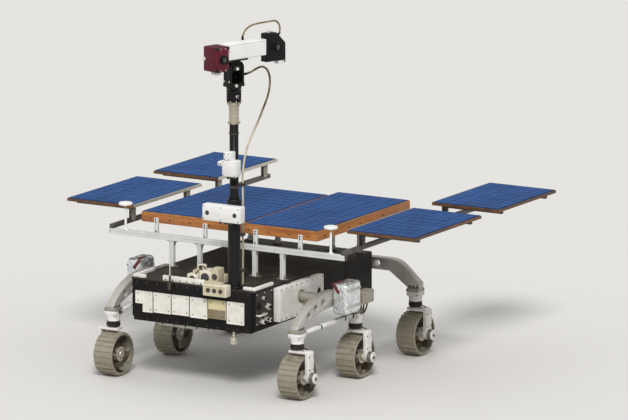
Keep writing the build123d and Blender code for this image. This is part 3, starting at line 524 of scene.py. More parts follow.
def from_cad(node, rounding, steps=2, sharpest=40):
    """A bmesh of a CAD node, its loose triangles merged into whole faces and its edges rounded."""
    bm = bmesh.new()
    bm.from_mesh(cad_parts[node].data)
    bmesh.ops.remove_doubles(bm, verts=bm.verts, dist=1e-5)
    bmesh.ops.dissolve_limit(bm, angle_limit=math.radians(0.5), verts=bm.verts, edges=bm.edges)
    round_edges(bm, bm.faces, rounding, steps, sharpest)
    return bm


def add_pocket(bm, middle, half_a, half_b, out, depth, rim=0.004, finish=0):
    """Add a milled frame: a low raised border round an upright rectangle, mitred at its corners."""
    out = Vector(out)
    along = Z.cross(out)
    corners = ((-half_a, -half_b), (half_a, -half_b), (half_a, half_b), (-half_a, half_b))
    verts = [bm.verts.new(Vector(middle) + a * along + b * Z + depth * out) for a, b in corners]
    face = bm.faces.new(verts)
    before = set(bm.faces) - {face}
    bmesh.ops.inset_region(bm, faces=[face], thickness=rim, depth=0)
    base = bmesh.ops.extrude_face_region(bm, geom=[f for f in bm.faces if f not in before])["geom"]
    bmesh.ops.translate(bm, verts=verts_in(base), vec=-depth * 1.2 * out)
    bmesh.ops.translate(bm, verts=face.verts, vec=-0.6 * depth * out)
    made = [f for f in bm.faces if f not in before]
    colour_faces(made, finish)
    bmesh.ops.recalc_face_normals(bm, faces=made)


def add_tube(bm, points, radius, finish=2):
    """Add a lead or a conduit along points."""
    tube, _ = smooth_route("lead", points, radius)
    before = set(bm.faces)
    bm.from_mesh(tube)
    bpy.data.meshes.remove(tube)
    colour_faces(set(bm.faces) - before, finish)


leg_paint = dust_and_sheen_finish("white_powder_coat_leg", "#F1EFEC", "#BBAA8A", 0.42, cover=(0.5, 0.2), patch=0.045)
motor_metal = dust_and_sheen_finish("turned_motor_case", "#6C6A66", "#85795F", 0.4, 0.7, (0.5, 0.3))
lead_jacket = cable_sleeve("rubber_lead", "#2A2826", "#33302B", 0.1, 0.5)
leg_face = leg_inner_gap + leg_thickness
motor_face = motor_end - 0.001
motor_profile = (
    (0.0, leg_face - 0.001), (0.0315, leg_face - 0.001), (0.0315, leg_face + 0.004),
    (0.0305, leg_face + 0.006), (0.0305, leg_face + 0.022), (0.0275, motor_face), (0.0, motor_face),
)
lead_points = (
    # along the wheel, out from its middle, up from the axle
    (-0.040, 0.094, 0.000), (-0.045, 0.090, 0.030), (-0.037, 0.078, 0.070), (-0.034, 0.076, 0.110),
    (-0.033, 0.070, 0.146), (-0.031, 0.030, 0.157), (-0.026, 0.000, 0.160),
)
for wheel_name in wheel_names:
    name = wheel_name.replace("wheel_", "leg_")
    axle = middle_of(wheel_name)
    side = side_of(name)
    leg = from_cad(name, 0.0025)
    out = side * Y
    outer_face = axle + leg_face * out
    add_pocket(leg, outer_face + 0.088 * Z, 0.021, 0.040, out, 0.0025)
    add_bolts(leg, [outer_face + at for at in grid((-0.022, 0.022), 0, (0.122, 0.050))], out, 0.0035)
    head_ys = (axle.y - side * 0.026, axle.y + side * 0.050)
    add_bolts(leg, grid((axle.x - 0.021, axle.x + 0.021), head_ys, leg_head_z), Z, 0.0035)
    spin_profile(leg, motor_profile, axle, out, steps=40, finish=1)
    cap = axle + motor_face * out
    add_drum(leg, cap, 0.001 * out, 0.012, 0.011, sides=24)
    for way in ring(6, 0.0, X, Z):
        add_drum(leg, cap + 0.020 * way, 0.001 * out, 0.0022, 0.0018, sides=8, finish=2)
    plug_low = axle + Vector((-0.043, side * 0.094 - 0.008, -0.008))
    add_block(leg, plug_low, plug_low + Vector((0.014, 0.016, 0.016)), 0.002, 2)
    add_tube(leg, [axle + Vector((along, side * far, up)) for along, far, up in lead_points], 0.0032)
    finish_piece("dressed_" + name, leg, (leg_paint, motor_metal, lead_jacket), "leg_white", name, body=name)


# Steering housings. A gear drum hangs from each bogie end with its motor block on top. The drum is cast
# aluminium, black below and enamelled a bright white above, and the block is white with a bare top.
housing_low_z = 0.282
housing_band_z = 0.314
housing_drum_top = 0.345
housing_cap_z = 0.370
housing_top = 0.390
housing_half = 0.038
housing_radius = 0.040
drum_waist = 0.0375
block_paint = dust_and_sheen_finish("white_enamel_block", "#F6F4F0", "#BDAF93", 0.35, cover=(0.35, 0.2))
drum_black = dust_and_sheen_finish("black_anodised_drum", "#1C1A19", "#5A5142", 0.45, 0.2, (0.3, 0.2), specular=0.25)
cast_metal = dust_and_sheen_finish("cast_aluminium", "#A6A39B", "#A89878", 0.45, 0.65, (0.6, 0.3))
drum_profile = (
    (0.0185, housing_low_z), (0.033, housing_low_z), (housing_radius, housing_low_z + 0.005),
    (housing_radius, housing_low_z + 0.016), (drum_waist, housing_low_z + 0.018),
    (drum_waist, housing_band_z), (drum_waist, housing_drum_top - 0.012),
    (housing_radius, housing_drum_top - 0.010), (housing_radius, housing_drum_top),
    (0.0185, housing_drum_top),
)
housings = bmesh.new()
for wheel_name in wheel_names:
    axle = middle_of(wheel_name)
    axle.z = 0
    side = side_of(wheel_name)
    before = set(housings.faces)
    spin_profile(housings, drum_profile, axle, steps=40, finish=3)
    made = set(housings.faces) - before
    colour_faces([face for face in made if face.calc_center_median().z > housing_band_z], 0)
    half = Vector((housing_half, housing_half, 0))
    for block_low, block_high, finish in (
        (housing_drum_top, housing_cap_z, 0), (housing_cap_z, housing_top, 1),
    ):
        add_block(housings, axle - half + block_low * Z, axle + half + block_high * Z, 0.003, finish)
    for way in ring(8, 0.5):
        add_bolts(housings, [axle + drum_waist * way + 0.312 * Z], way, 0.0028, 2)
    for out in (X, -X, side * Y):
        along = Z.cross(out)
        face_middle = axle + (housing_drum_top + housing_top) / 2 * Z + housing_half * out
        for across, up in product((-0.029, 0.029), (-0.014, 0.014)):
            add_drum(
                housings, face_middle + across * along + up * Z, 0.0015 * out, 0.0032, 0.0028, 10, finish=2,
            )
    inward = -side * Y
    gland = axle + housing_half * inward + 0.366 * Z
    add_drum(housings, gland, 0.010 * inward, 0.010, sides=6, rounding=0.001, finish=2)
    add_drum(housings, gland + 0.009 * inward, 0.013 * inward, 0.007, 0.005, 16, finish=2)
dark_fitting = dust_and_sheen_finish("black_oxide_screw", "#3A3835", "#8B7D64", 0.45, 0.6, (0.3, 0.15))
finish_piece(
    "dressed_housings", housings, (block_paint, cast_metal, dark_fitting, drum_black), "housing_metal",
    "steer_housings",
)


# Bogies. The arches over the front and middle wheels and the beam across the back are sawn from thick
# aluminium plate, lightened by bored holes and bolted down on the steering housings.
bogie_half = 0.025
milled_plate = dust_and_sheen_finish("milled_aluminium_plate", "#C2C0BB", "#A99D84", 0.38, 0.6, (0.5, 0.3))
for name in ("bogie_left", "bogie_right", "bogie_rear"):
    bogie = from_cad(name, 0.0022, sharpest=50)
    is_rear = name == "bogie_rear"
    for wheel_name in wheel_names:
        if ("rear" in wheel_name) != is_rear or (not is_rear and side_of(wheel_name) != side_of(name)):
            continue
        axle = middle_of(wheel_name)
        across, along, bolt_z = (X, Y, 0.398) if is_rear else (Y, X, 0.396)
        for end in (-1, 1):
            foot = Vector((axle.x, axle.y, bolt_z)) + end * bogie_half * across
            add_bolts(bogie, [foot + step * along for step in (-0.024, 0.0, 0.024)], end * across, 0.0042)
    finish_piece("dressed_" + name, bogie, (milled_plate, dark_fitting), "bogie_metal", name)


# Pivots and tie bars. Turned shafts with bolted flanges carry the bogies on the body, and a square white
# tube ties the two housings of each side bogie together below its arch.
body_half_width = 0.400
arch_face = 0.575
tie_y = 0.6
front_axle_x = middle_of("wheel_front_left").x
side_mid_x = middle_of("wheel_mid_left").x
rear_axle_x = middle_of("wheel_rear_left").x
side_pivot_x = (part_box("wheel_front_left")[0].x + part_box("wheel_mid_left")[1].x) / 2
side_pivot_z = 0.505
rear_pivot_z = 0.510
body_low, body_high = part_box("chassis_tub")
pivot_profile = ((0.0, 0.0), (0.046, 0.0), (0.046, 0.006), (0.044, 0.008), (0.034, 0.010), (0.030, 0.016))
# The body's flange is smaller, because it sits in the cut-out of the side box.
body_flange_radius = 0.037
pivots = bmesh.new()
shafts = (
    # end on the body, end on the bogie
    ((side_pivot_x, body_half_width, side_pivot_z), (side_pivot_x, arch_face, side_pivot_z)),
    ((side_pivot_x, -body_half_width, side_pivot_z), (side_pivot_x, -arch_face, side_pivot_z)),
    ((body_low.x, 0, rear_pivot_z), (rear_axle_x + bogie_half, 0, rear_pivot_z)),
)
for start, end in shafts:
    shaft = Vector(end) - Vector(start)
    out = shaft.normalized()
    near = [(min(radius, body_flange_radius), along) for radius, along in pivot_profile]
    far = [(radius, shaft.length - along) for radius, along in reversed(pivot_profile)]
    spin_profile(pivots, near + far, start, out, Z, steps=40)
    seats = [Vector(end) - 0.008 * out + 0.039 * way for way in ring(8, 0.5, Z, out.cross(Z))]
    add_bolts(pivots, seats, -out, 0.0035)
finish_piece("dressed_pivots", pivots, (cast_metal, dark_fitting), "bogie_metal", "bogie_pivots")

tie_paint = dust_and_sheen_finish("white_painted_tube", "#F5F4F0", "#C0B294", 0.4, cover=(0.35, 0.2))
ties = from_cad("bogie_ties", 0.003)
tie_low, tie_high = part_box("bogie_ties")
for side in (1, -1):
    for end_x in (tie_low.x + 0.006, tie_low.x + 0.090, tie_high.x - 0.210, tie_high.x - 0.018):
        band_low = (end_x, side * tie_y - 0.0165, tie_low.z - 0.0015)
        add_block(ties, band_low, (end_x + 0.012, side * tie_y + 0.0165, tie_high.z + 0.0015), 0.001, 1)
        for face in (1, -1):
            seat = (end_x + 0.006, side * tie_y + face * 0.0165, (tie_low.z + tie_high.z) / 2)
            add_bolts(ties, [seat], face * Y, 0.0035)
finish_piece("dressed_ties", ties, (tie_paint, dark_fitting), "leg_white", "bogie_ties")


# Pods. A drive controller box hangs on the outer face of each side bogie, wrapped in crinkled silver foil
# blanket with tape round it and one dark red strap, and a small bare junction box is bracketed behind it.
pod_low, pod_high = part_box("bogie_pods")
pod_inner_y = 0.625


def foil_finish(name):
    """Aluminised polyester film: a mirror-like metal that crinkles. The pale blue to white tone that changes
    from cell to cell is a painted reflection of the crinkled facets.
    """
    material, tree, shader, place = start_material(name, 0.26, 0.85)
    # Random cells of pale blue to white tone are painted reflections, one for each facet.
    painted_facet_reflection = add_node(
        tree, "TexVoronoi", {"Vector": place, "Scale": 55.0, "Randomness": 1.0},
    ).outputs["Color"]
    fine = add_node(tree, "TexVoronoi", {"Vector": place, "Scale": 120.0}).outputs["Distance"]
    dust_and_sheen_mask = remap(tree, clouds(tree, place, 24.0, 5.0), 0.55, 0.85, to_high=0.5)
    colour = mix_colours(tree, dust_and_sheen_mask, mix_colours(tree, painted_facet_reflection, "#C6CDD2", "#F6F8F8"), "#B7A98D")
    wire(tree, shader, colour=colour, relief=bump(tree, fine, 0.6, 0.002))
    return material


def crinkle(point, size, depth):
    """How far a foil surface stands in at a point: folded facets of the given size."""
    coarse = noise.noise(point / size)
    ridge = 1 - abs(noise.noise(point * 2.3 / size + Vector((7.1, 3.3, 1.7))))
    return depth * (0.6 * abs(coarse) + 0.4 * (1 - ridge**3))


foil = foil_finish("aluminised_film")
strap_webbing = dust_and_sheen_finish("red_webbing", "#5E0F1A", "#8F7A62", 0.8, cover=(0.15, 0.1))
tape = dust_and_sheen_finish("silver_tape", "#C4C3BE", "#B3A487", 0.4, 0.5, (0.3, 0.25))
for side_name, side in (("left", 1), ("right", -1)):
    near, far = side * pod_inner_y, side * pod_high.y
    pod = bmesh.new()
    add_block(pod, (pod_low.x, near, pod_low.z), (pod_high.x, far, pod_high.z), 0.024, steps=4)
    bmesh.ops.triangulate(pod, faces=pod.faces)
    large = [edge for edge in pod.edges if edge.calc_length() > 0.05]
    bmesh.ops.subdivide_edges(pod, edges=large, cuts=7, use_grid_fill=True)
    for _ in range(3):
        large = [edge for edge in pod.edges if edge.calc_length() > 0.010]
        if large:
            bmesh.ops.subdivide_edges(pod, edges=large, cuts=1)
            bmesh.ops.triangulate(pod, faces=[face for face in pod.faces if len(face.verts) > 3])
    pod.normal_update()
    moves = [(vert, -crinkle(vert.co, 0.030, 0.008) * vert.normal) for vert in pod.verts]
    for vert, move in moves:
        vert.co += move
    strap_lean = Matrix.Rotation(math.radians(side * -52), 3, "X")
    strap_middle = Vector((pod_high.x - 0.002, near + side * 0.027, pod_high.z - 0.030))
    strap_half = Vector((0.002, 0.034, 0.009))
    add_block(pod, strap_middle - strap_half, strap_middle + strap_half, 0.001, 1, turn=strap_lean)
    strap_top = (pod_high.x - 0.085, near + side * 0.014, pod_high.z - 0.003)
    add_block(pod, strap_top, (pod_high.x - 0.020, near + side * 0.036, pod_high.z), 0.001, 1, 1)
    for tape_z in (pod_low.z + 0.040, pod_high.z - 0.050):
        tape_end = (pod_high.x - 0.012, far, tape_z + 0.016)
        add_block(pod, (pod_low.x + 0.012, far - side * 0.0025, tape_z), tape_end, 0.0006, 2, 1)
    replaced = ("bogie_pods",) if side > 0 else ()
    finish_piece(
        "foil_pod_" + side_name, pod, (foil, strap_webbing, tape), "pod_foil", *replaced, sharp_angle=60,
    )

junctions = bmesh.new()
junction_half = Vector((0.058, 0.030, 0.036))
plate_half = Vector((0.036, 0.002, 0.046))
for side in (1, -1):
    out = side * Y
    middle = Vector((pod_low.x - 0.137, side * 0.659, 0.470))
    add_block(junctions, middle - junction_half, middle + junction_half, 0.004, steps=3)
    plate_middle = Vector((middle.x + 0.020, side * 0.627, 0.440))
    add_block(junctions, plate_middle - plate_half, plate_middle + plate_half, 0.001)
    lid = middle + junction_half.y * out
    add_pocket(junctions, lid, 0.050, 0.028, out, 0.002)
    add_bolts(junctions, [lid + at for at in grid((-0.044, 0.044), 0, (-0.023, 0.023))], out, 0.003)
    for gland_x in (-0.030, 0.006):
        seat = middle + Vector((gland_x, 0, -junction_half.z))
        add_drum(junctions, seat, -0.010 * Z, 0.009, sides=6, rounding=0.0006, finish=1)
        bends = ((0.655, 0.388), (0.648, 0.374), (0.636, 0.366))
        bend_points = [(side_mid_x + gland_x * 0.6, side * y, z) for y, z in bends]
        add_tube(junctions, [seat - 0.008 * Z, seat - 0.024 * Z, *bend_points], 0.0045)
finish_piece("junction_boxes", junctions, (cast_metal, dark_fitting, lead_jacket), "housing_metal")


# Body. A riveted box of sheet aluminium painted matt black holds the electronics. Its deck is a thicker
# black plate with the payload bolt pattern, and its front is a screwed fascia.
rivet_pitch = 0.05
black_paint = dust_and_sheen_finish(
    "matt_black_paint", "#0E0E10", "#4C4336", 0.6, cover=(0.25, 0.08), patch=0.09, specular=0.15
)
deck_paint = dust_and_sheen_finish(
    "black_deck_paint", "#161617", "#6E634F", 0.6, cover=(0.45, 0.3), patch=0.12, specular=0.2,
)
tub = from_cad("chassis_tub", 0.003)
for seam_x in (body_low.x + 0.28, body_low.x + 0.60, body_low.x + 0.92):
    for side in (1, -1):
        wall = side * body_half_width
        strip_low = (seam_x - 0.018, wall - 0.0012, body_low.z + 0.030)
        add_block(tub, strip_low, (seam_x + 0.018, wall + 0.0012, body_high.z - 0.004), 0.0006, steps=1)
        add_bolts(tub, grid(seam_x, wall, row(body_low.z + 0.045, 0.032, 6)), side * Y, 0.003)
for side in (1, -1):
    rivet_x = body_low.x + 0.03
    while rivet_x < body_high.x - 0.02:
        seat = (rivet_x, side * body_half_width, body_high.z - 0.012)
        add_drum(tub, seat, side * 0.0016 * Y, 0.0035, 0.002, sides=8, finish=1)
        rivet_x += rivet_pitch
rear_x = body_low.x
for panel_y in (-0.235, 0.235):
    panel_low = (rear_x - 0.003, panel_y - 0.115, body_low.z + 0.035)
    add_block(tub, panel_low, (rear_x, panel_y + 0.115, body_high.z - 0.025), 0.001, steps=1)
    seats = grid(rear_x - 0.003, row(panel_y - 0.105, 0.105, 3), (body_low.z + 0.045, body_high.z - 0.035))
    add_bolts(tub, seats, -X, 0.0035)
    for slat_z in row(body_low.z + 0.065, 0.016, 7):
        slat_end = (rear_x - 0.002, panel_y + 0.080, slat_z + 0.006)
        slat_tilt = Matrix.Rotation(math.radians(12), 3, "Y")
        add_block(tub, (rear_x - 0.007, panel_y - 0.080, slat_z), slat_end, 0.001, steps=1, turn=slat_tilt)
add_bolts(tub, grid(row(body_low.x + 0.08, 0.14, 9), (-0.3, 0.3), body_low.z), -Z, 0.004)
finish_piece("dressed_tub", tub, (black_paint, dark_fitting), "body_black", "chassis_tub")


# Service panels. On each side, ahead of the locker, a dark cover carries a black cap, plated connectors
# with their plugs and a bright grab bar, and a white cable duct runs along the deck's corner above it.
panel_brown = dust_and_sheen_finish("brown_oxide_cover", "#2A2523", "#5E5342", 0.5, cover=(0.35, 0.2), specular=0.3)
plated = dust_and_sheen_finish("nickel_plated_brass", "#EDEBE4", "#CFC6B0", 0.25, 0.7, (0.2, 0.2), 0.01)
duct_paint = dust_and_sheen_finish("white_cable_duct", "#F1EFE9", "#BDB093", 0.45, cover=(0.3, 0.25), patch=0.03)
port_rubber = dust_and_sheen_finish("black_port_rubber", "#0E0E0E", "#4E463A", 0.7, cover=(0.2, 0.12), specular=0.2)
panel_back = body_high.x - 0.180
panel_front = body_high.x - 0.006
panel_bottom = 0.408
panel_top = 0.592
duct_low = 0.605
duct_high = 0.623
connector_rows = (
    # back from the panel's front edge, height, radius, length
    (0.050, 0.428, 0.014, 0.026), (0.092, 0.436, 0.011, 0.020), (0.126, 0.424, 0.012, 0.022),
    (0.118, 0.500, 0.017, 0.018), (0.070, 0.556, 0.009, 0.014),
)
service = bmesh.new()
for side in (1, -1):
    out = side * Y
    wall = side * body_half_width
    face_y = wall + side * 0.003
    cover_low = (panel_back, wall - side * 0.001, panel_bottom)
    add_block(service, cover_low, (panel_front, face_y, panel_top), 0.0012, steps=1)
    screw_xs = (panel_back + 0.008, (panel_back + panel_front) / 2, panel_front - 0.008)
    add_bolts(service, grid(screw_xs, face_y, (panel_bottom + 0.008, panel_top - 0.008)), out, 0.0028)
    cap = Vector((panel_front - 0.028, face_y, 0.518))
    add_drum(service, cap - 0.001 * out, 0.005 * out, 0.0225, rounding=0.001, finish=2)
    add_drum(service, cap, 0.010 * out, 0.0195, 0.018, rounding=0.002, finish=2)
    for back, height, radius, length in connector_rows:
        seat = Vector((panel_front - back, face_y, height))
        add_drum(service, seat - 0.001 * out, 0.005 * out, 1.3 * radius, sides=4, rounding=0.0006, finish=1)
        add_drum(service, seat, length * out, radius, sides=24, rounding=0.001, finish=1)
        add_drum(service, seat, (length + 0.008) * out, 0.7 * radius, 0.6 * radius, 20, finish=2)
    for foot_x in (panel_front - 0.074, panel_front - 0.004):
        add_drum(service, (foot_x, face_y - side * 0.001, 0.468), 0.021 * out, 0.0055, sides=16, finish=1)
    grip = (panel_front - 0.080, face_y + side * 0.020, 0.468)
    add_drum(service, grip, 0.080 * X, 0.0065, sides=20, rounding=0.002, finish=1)
    for back, inner, outer in ((0.205, 0.022, 0.004), (0.022, 0.082, 0.022)):
        duct_from = (body_high.x - back, wall - side * inner, duct_low)
        add_block(service, duct_from, (body_high.x - 0.004, wall - side * outer, duct_high), 0.002, 3)
finish_piece("service_panels", service, (panel_brown, plated, port_rubber, duct_paint), "body_black")

deck = from_cad("deck_plate", 0.0015, 1, 60)
deck_low, deck_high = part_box("deck_plate")
add_bolts(deck, grid(row(deck_low.x + 0.04, 0.122, 11), (-0.386, 0.386), deck_high.z), Z, 0.004)
hatch_top = deck_high.z + 0.0025
for hatch_x in (deck_low.x + 0.10, deck_low.x + 0.86):
    add_block(deck, (hatch_x, -0.12, deck_high.z - 0.001), (hatch_x + 0.22, 0.12, hatch_top), 0.0012, steps=1)
    add_bolts(deck, grid((hatch_x + 0.015, hatch_x + 0.205), (-0.105, 0, 0.105), hatch_top), Z, 0.0035)
finish_piece("dressed_deck", deck, (deck_paint, dark_fitting), "body_black", "deck_plate")

fascia_low, fascia_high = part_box("front_fascia")
fascia = from_cad("front_fascia", 0.002)
screw_zs = (fascia_low.z + 0.014, fascia_high.z - 0.012)
add_bolts(fascia, grid(fascia_high.x, row(fascia_low.y + 0.025, 0.0654, 12), screw_zs), X, 0.0035)
finish_piece("dressed_fascia", fascia, (black_paint, dark_fitting), "body_black", "front_fascia")


# Front plates. Six blank aluminium covers are screwed on the fascia in a row, each folded with a raised rim.
# Five are painted white and one is a yellowed spare, coloured a darker brown below a line, and no two hang to
# one depth.
plates_low, plates_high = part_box("front_plates")
plate_gap = 0.007
plate_heights = (0.118, 0.114, 0.112, 0.116, 0.108, 0.126)
plate_pitch = (plates_high.y - plates_low.y + plate_gap) / len(plate_heights)
aged_plate = 4
dark_band_top_z = plates_high.z - 0.055
notch_width = 0.048
notch_height = 0.046
screw_inset = 0.016


def add_slab(bm, points, reach):
    """Draw a flat outline out along a vector. Returns all the slab's faces, and the one at its far end."""
    verts = [bm.verts.new(point) for point in points]
    made = bmesh.ops.extrude_face_region(bm, geom=[bm.faces.new(verts)])["geom"]
    moved = verts_in(made)
    bmesh.ops.translate(bm, verts=moved, vec=reach)
    faces = faces_on(verts + moved)
    bmesh.ops.recalc_face_normals(bm, faces=faces)
    return faces, [element for element in made if isinstance(element, bmesh.types.BMFace)]


plate_paint = dust_and_sheen_finish("white_satin_plate", "#EFEDE6", "#C0B192", 0.4, cover=(0.55, 0.3), patch=0.04)
aged_paint = dust_and_sheen_finish("yellowed_plate", "#E0D5A9", "#B6A27A", 0.45, cover=(0.6, 0.3), patch=0.04)
plate_dark_lower_paint = dust_and_sheen_finish("dark_lower_plate", "#8F8365", "#6D6149", 0.55, cover=(0.6, 0.4), patch=0.03)
front_plates = bmesh.new()
for n, height in enumerate(plate_heights):
    start_y = plates_low.y + n * plate_pitch
    end_y = start_y + plate_pitch - plate_gap
    low_z = plates_high.z - height
    outline = [(start_y, low_z), (end_y, low_z), (end_y, plates_high.z), (start_y, plates_high.z)]
    left_screw_z = low_z + screw_inset
    if n == 0:
        notch_top = low_z + notch_height
        notch_side = start_y + notch_width
        outline[:1] = [(start_y, notch_top), (notch_side, notch_top), (notch_side, low_z)]
        left_screw_z = notch_top + screw_inset
    reach = (plates_high.x - 0.001 - plates_low.x) * X
    _, cover = add_slab(front_plates, [(plates_low.x, y, z) for y, z in outline], reach)
    bmesh.ops.inset_region(front_plates, faces=cover, thickness=0.006, depth=0.0)
    bmesh.ops.inset_region(front_plates, faces=cover, thickness=0.0015, depth=-0.0025)
    # Below a line, this plate is coloured a darker brown.
    if n == aged_plate:
        plate_faces = {face for face in front_plates.faces if start_y < face.calc_center_median().y < end_y}
        cut_edges = {edge for face in plate_faces for edge in face.edges}
        cut_verts = {vert for face in plate_faces for vert in face.verts}
        cut = [*plate_faces, *cut_edges, *cut_verts]
        bmesh.ops.bisect_plane(front_plates, geom=cut, plane_co=(0, 0, dark_band_top_z), plane_no=Z)
        for face in front_plates.faces:
            centre = face.calc_center_median()
            if start_y < centre.y < end_y:
                face.material_index = 1 if centre.z > dark_band_top_z else 2
    for screw_y, low_screw_z in (
        (start_y + screw_inset, left_screw_z), (end_y - screw_inset, low_z + screw_inset),
    ):
        seats = grid(plates_high.x - 0.0035, screw_y, (low_screw_z, plates_high.z - screw_inset))
        add_bolts(front_plates, seats, X, 0.0026, 3)
round_edges(front_plates, front_plates.faces, 0.001, 1, sharpest=70)
plate_finishes = (plate_paint, aged_paint, plate_dark_lower_paint, dark_fitting)
finish_piece("dressed_front_plates", front_plates, plate_finishes, "plate_white", "front_plates")


# Side boxes. A shallow white locker is screwed on each side of the body. It is cut out round the bogie
# pivot, has a black rubber port behind it and hinges along its top edge.
box_low, box_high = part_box("side_boxes")
box_depth = 0.040
port_x = front_axle_x - 0.516
port_z = 0.477
port_stretch = 0.036
locker_paint = dust_and_sheen_finish("white_locker_paint", "#ECEBE6", "#BCAE90", 0.42, cover=(0.5, 0.3), patch=0.06)
side_boxes = from_cad("side_boxes", 0.0025, sharpest=60)
for side in (1, -1):
    face_y = side * (body_half_width + box_depth)
    out = side * Y
    middle = (box_high.x - 0.105, face_y, (box_low.z + box_high.z) / 2)
    add_pocket(side_boxes, middle, 0.085, 0.078, out, 0.002)
    bolt_xs = row(box_low.x + 0.016, 0.056, 9)
    add_bolts(side_boxes, grid(bolt_xs, face_y, (box_low.z + 0.010, box_high.z - 0.010)), out, 0.003)
    for hinge_x in (box_low.x + 0.12, box_high.x - 0.14):
        hinge = (hinge_x - 0.02, side * (body_half_width + 0.012), box_high.z + 0.002)
        add_drum(side_boxes, hinge, 0.04 * X, 0.004, sides=12, finish=2)
    port = bmesh.ops.create_circle(side_boxes, cap_ends=True, segments=32, radius=0.0235)["verts"]
    stretch = [vert for vert in port if vert.co.y > 0.0001]
    bmesh.ops.translate(side_boxes, verts=stretch, vec=port_stretch * Y)
    place = Matrix.Translation((port_x, face_y - side * 0.0105, port_z - port_stretch / 2))
    bmesh.ops.transform(side_boxes, matrix=place @ Matrix.Rotation(math.radians(90), 4, "X"), verts=port)
    port_faces = faces_on(port)
    colour_faces(port_faces, 3)
    inset = bmesh.ops.inset_region(side_boxes, faces=port_faces, thickness=0.004, depth=side * -0.004)
    colour_faces(inset["faces"], 3)
locker_finishes = (locker_paint, dark_fitting, motor_metal, port_rubber)
finish_piece("dressed_side_boxes", side_boxes, locker_finishes, "plate_white", "side_boxes")


# Under the front edge hang a square scuff bar and a ground sensor: a turned aluminium can on a stem, with
# a dark glass window looking down.
bar_low, bar_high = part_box("under_bar")
under_bar = from_cad("under_bar", 0.0025)
for face_x, out in ((bar_high.x, X), (bar_low.x, -X)):
    add_bolts(
        under_bar, grid(face_x, row(bar_low.y + 0.03, 0.075, 5), (bar_low.z + bar_high.z) / 2), out, 0.0035,
    )
finish_piece("dressed_under_bar", under_bar, (milled_plate, dark_fitting), "bogie_metal", "under_bar")

sensor_low, sensor_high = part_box("under_sensor")
sensor_foot = middle_of("under_sensor").xy.to_3d() + sensor_low.z * Z
stem_top = sensor_high.z - sensor_low.z
window_glass, glass_tree, glass_shader, glass_place = start_material("dark_coated_glass", 0.06)
glass_shader.inputs["Base Color"].default_value = linear("#101418")
glass_shader.inputs["Coat Weight"].default_value = 1.0
glass_shader.inputs["Coat Roughness"].default_value = 0.03
smear = remap(glass_tree, clouds(glass_tree, glass_place, 60.0, 3.0), to_low=0.03, to_high=0.22)
wire(glass_tree, glass_shader, rough=smear)
sensor = bmesh.new()
sensor_profile = (
    (0.016, 0.001), (0.020, 0.0), (0.022, 0.002), (0.022, 0.028), (0.0195, 0.031), (0.0195, 0.040),
    (0.010, 0.044), (0.008, 0.048), (0.008, stem_top), (0.0, stem_top), (0.0, 0.004), (0.016, 0.004),
)
spin_profile(sensor, sensor_profile, sensor_foot, steps=32)
add_drum(sensor, sensor_foot + 0.006 * Z, -0.004 * Z, 0.0158, finish=1)
for way in ring(4, 0.5):
    add_bolts(sensor, [sensor_foot + 0.0215 * way + 0.015 * Z], way, 0.0025, 2)
finish_piece(
    "dressed_under_sensor", sensor, (hub_metal, window_glass, dark_fitting), "housing_metal",
    "under_sensor",
)


# Lifting eye. A thick aluminium lug at the middle of the rear face takes a shackle pin, and its foot is
# bolted through the body.
eye_low, eye_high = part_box("lifting_eye")
eye = from_cad("lifting_eye", 0.002, sharpest=60)
foot_x = eye_high.x - 0.006
add_block(eye, (foot_x, -0.030, eye_low.z - 0.012), (eye_high.x, 0.030, eye_high.z + 0.012), 0.0015)
add_bolts(eye, grid(foot_x, (-0.020, 0.020), (eye_low.z - 0.002, eye_high.z + 0.002)), -X, 0.0045)
finish_piece("dressed_lifting_eye", eye, (milled_plate, dark_fitting), "bogie_metal", "lifting_eye")


# Deck instruments. Beige moulded housings crowd the deck beside the mast foot, with round black windows
# on them, short leads between them and a white ledge in front.
case_low, case_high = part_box("deck_instrument")
beige_case = dust_and_sheen_finish("beige_moulded_case", "#CFC6A8", "#A8966F", 0.5, cover=(0.5, 0.4), patch=0.03)
ivory_case = dust_and_sheen_finish("ivory_moulded_case", "#E6E0CC", "#B9A987", 0.5, cover=(0.4, 0.3), patch=0.03)
case_blocks = (
    # low corner and high corner as shares of the case, finish
    ((0.00, 0.00, 0.00), (0.55, 0.44, 0.62), 0),
    ((0.30, 0.40, 0.00), (1.00, 0.78, 0.80), 1),
    ((0.60, 0.00, 0.00), (1.00, 0.34, 0.52), 1),
    ((0.05, 0.50, 0.00), (0.42, 1.00, 0.50), 0),
    ((0.45, 0.76, 0.00), (0.95, 1.00, 1.00), 0),
    ((0.10, 0.08, 0.60), (0.35, 0.30, 0.95), 1),
)
case_leads = (
    # points of each lead, as shares of the case
    ((0.35, 0.22, 0.80), (0.50, 0.26, 0.95), (0.62, 0.40, 0.92), (0.66, 0.50, 0.80)),
    ((0.80, 0.20, 0.52), (0.84, 0.30, 0.72), (0.86, 0.38, 0.80), (0.80, 0.46, 0.79)),
    ((0.20, 0.70, 0.50), (0.25, 0.76, 0.74), (0.40, 0.86, 0.88), (0.50, 0.88, 0.86)),
)


def in_case(shares):
    """The point at the given shares of the deck instrument's box."""
    return case_low + (case_high - case_low) * Vector(shares)


def add_window(
    bm, rim, radius, glass_radius, length, glass_from, glass_length, finish=2, sides=24, rounding=0.001,
):
    """Add a round window that looks forward: a rim of the given finish and glass of the next one."""
    add_drum(bm, rim, length * X, radius, sides=sides, rounding=rounding, finish=finish)
    add_drum(bm, rim + glass_from * X, glass_length * X, glass_radius, sides=sides, finish=finish + 1)


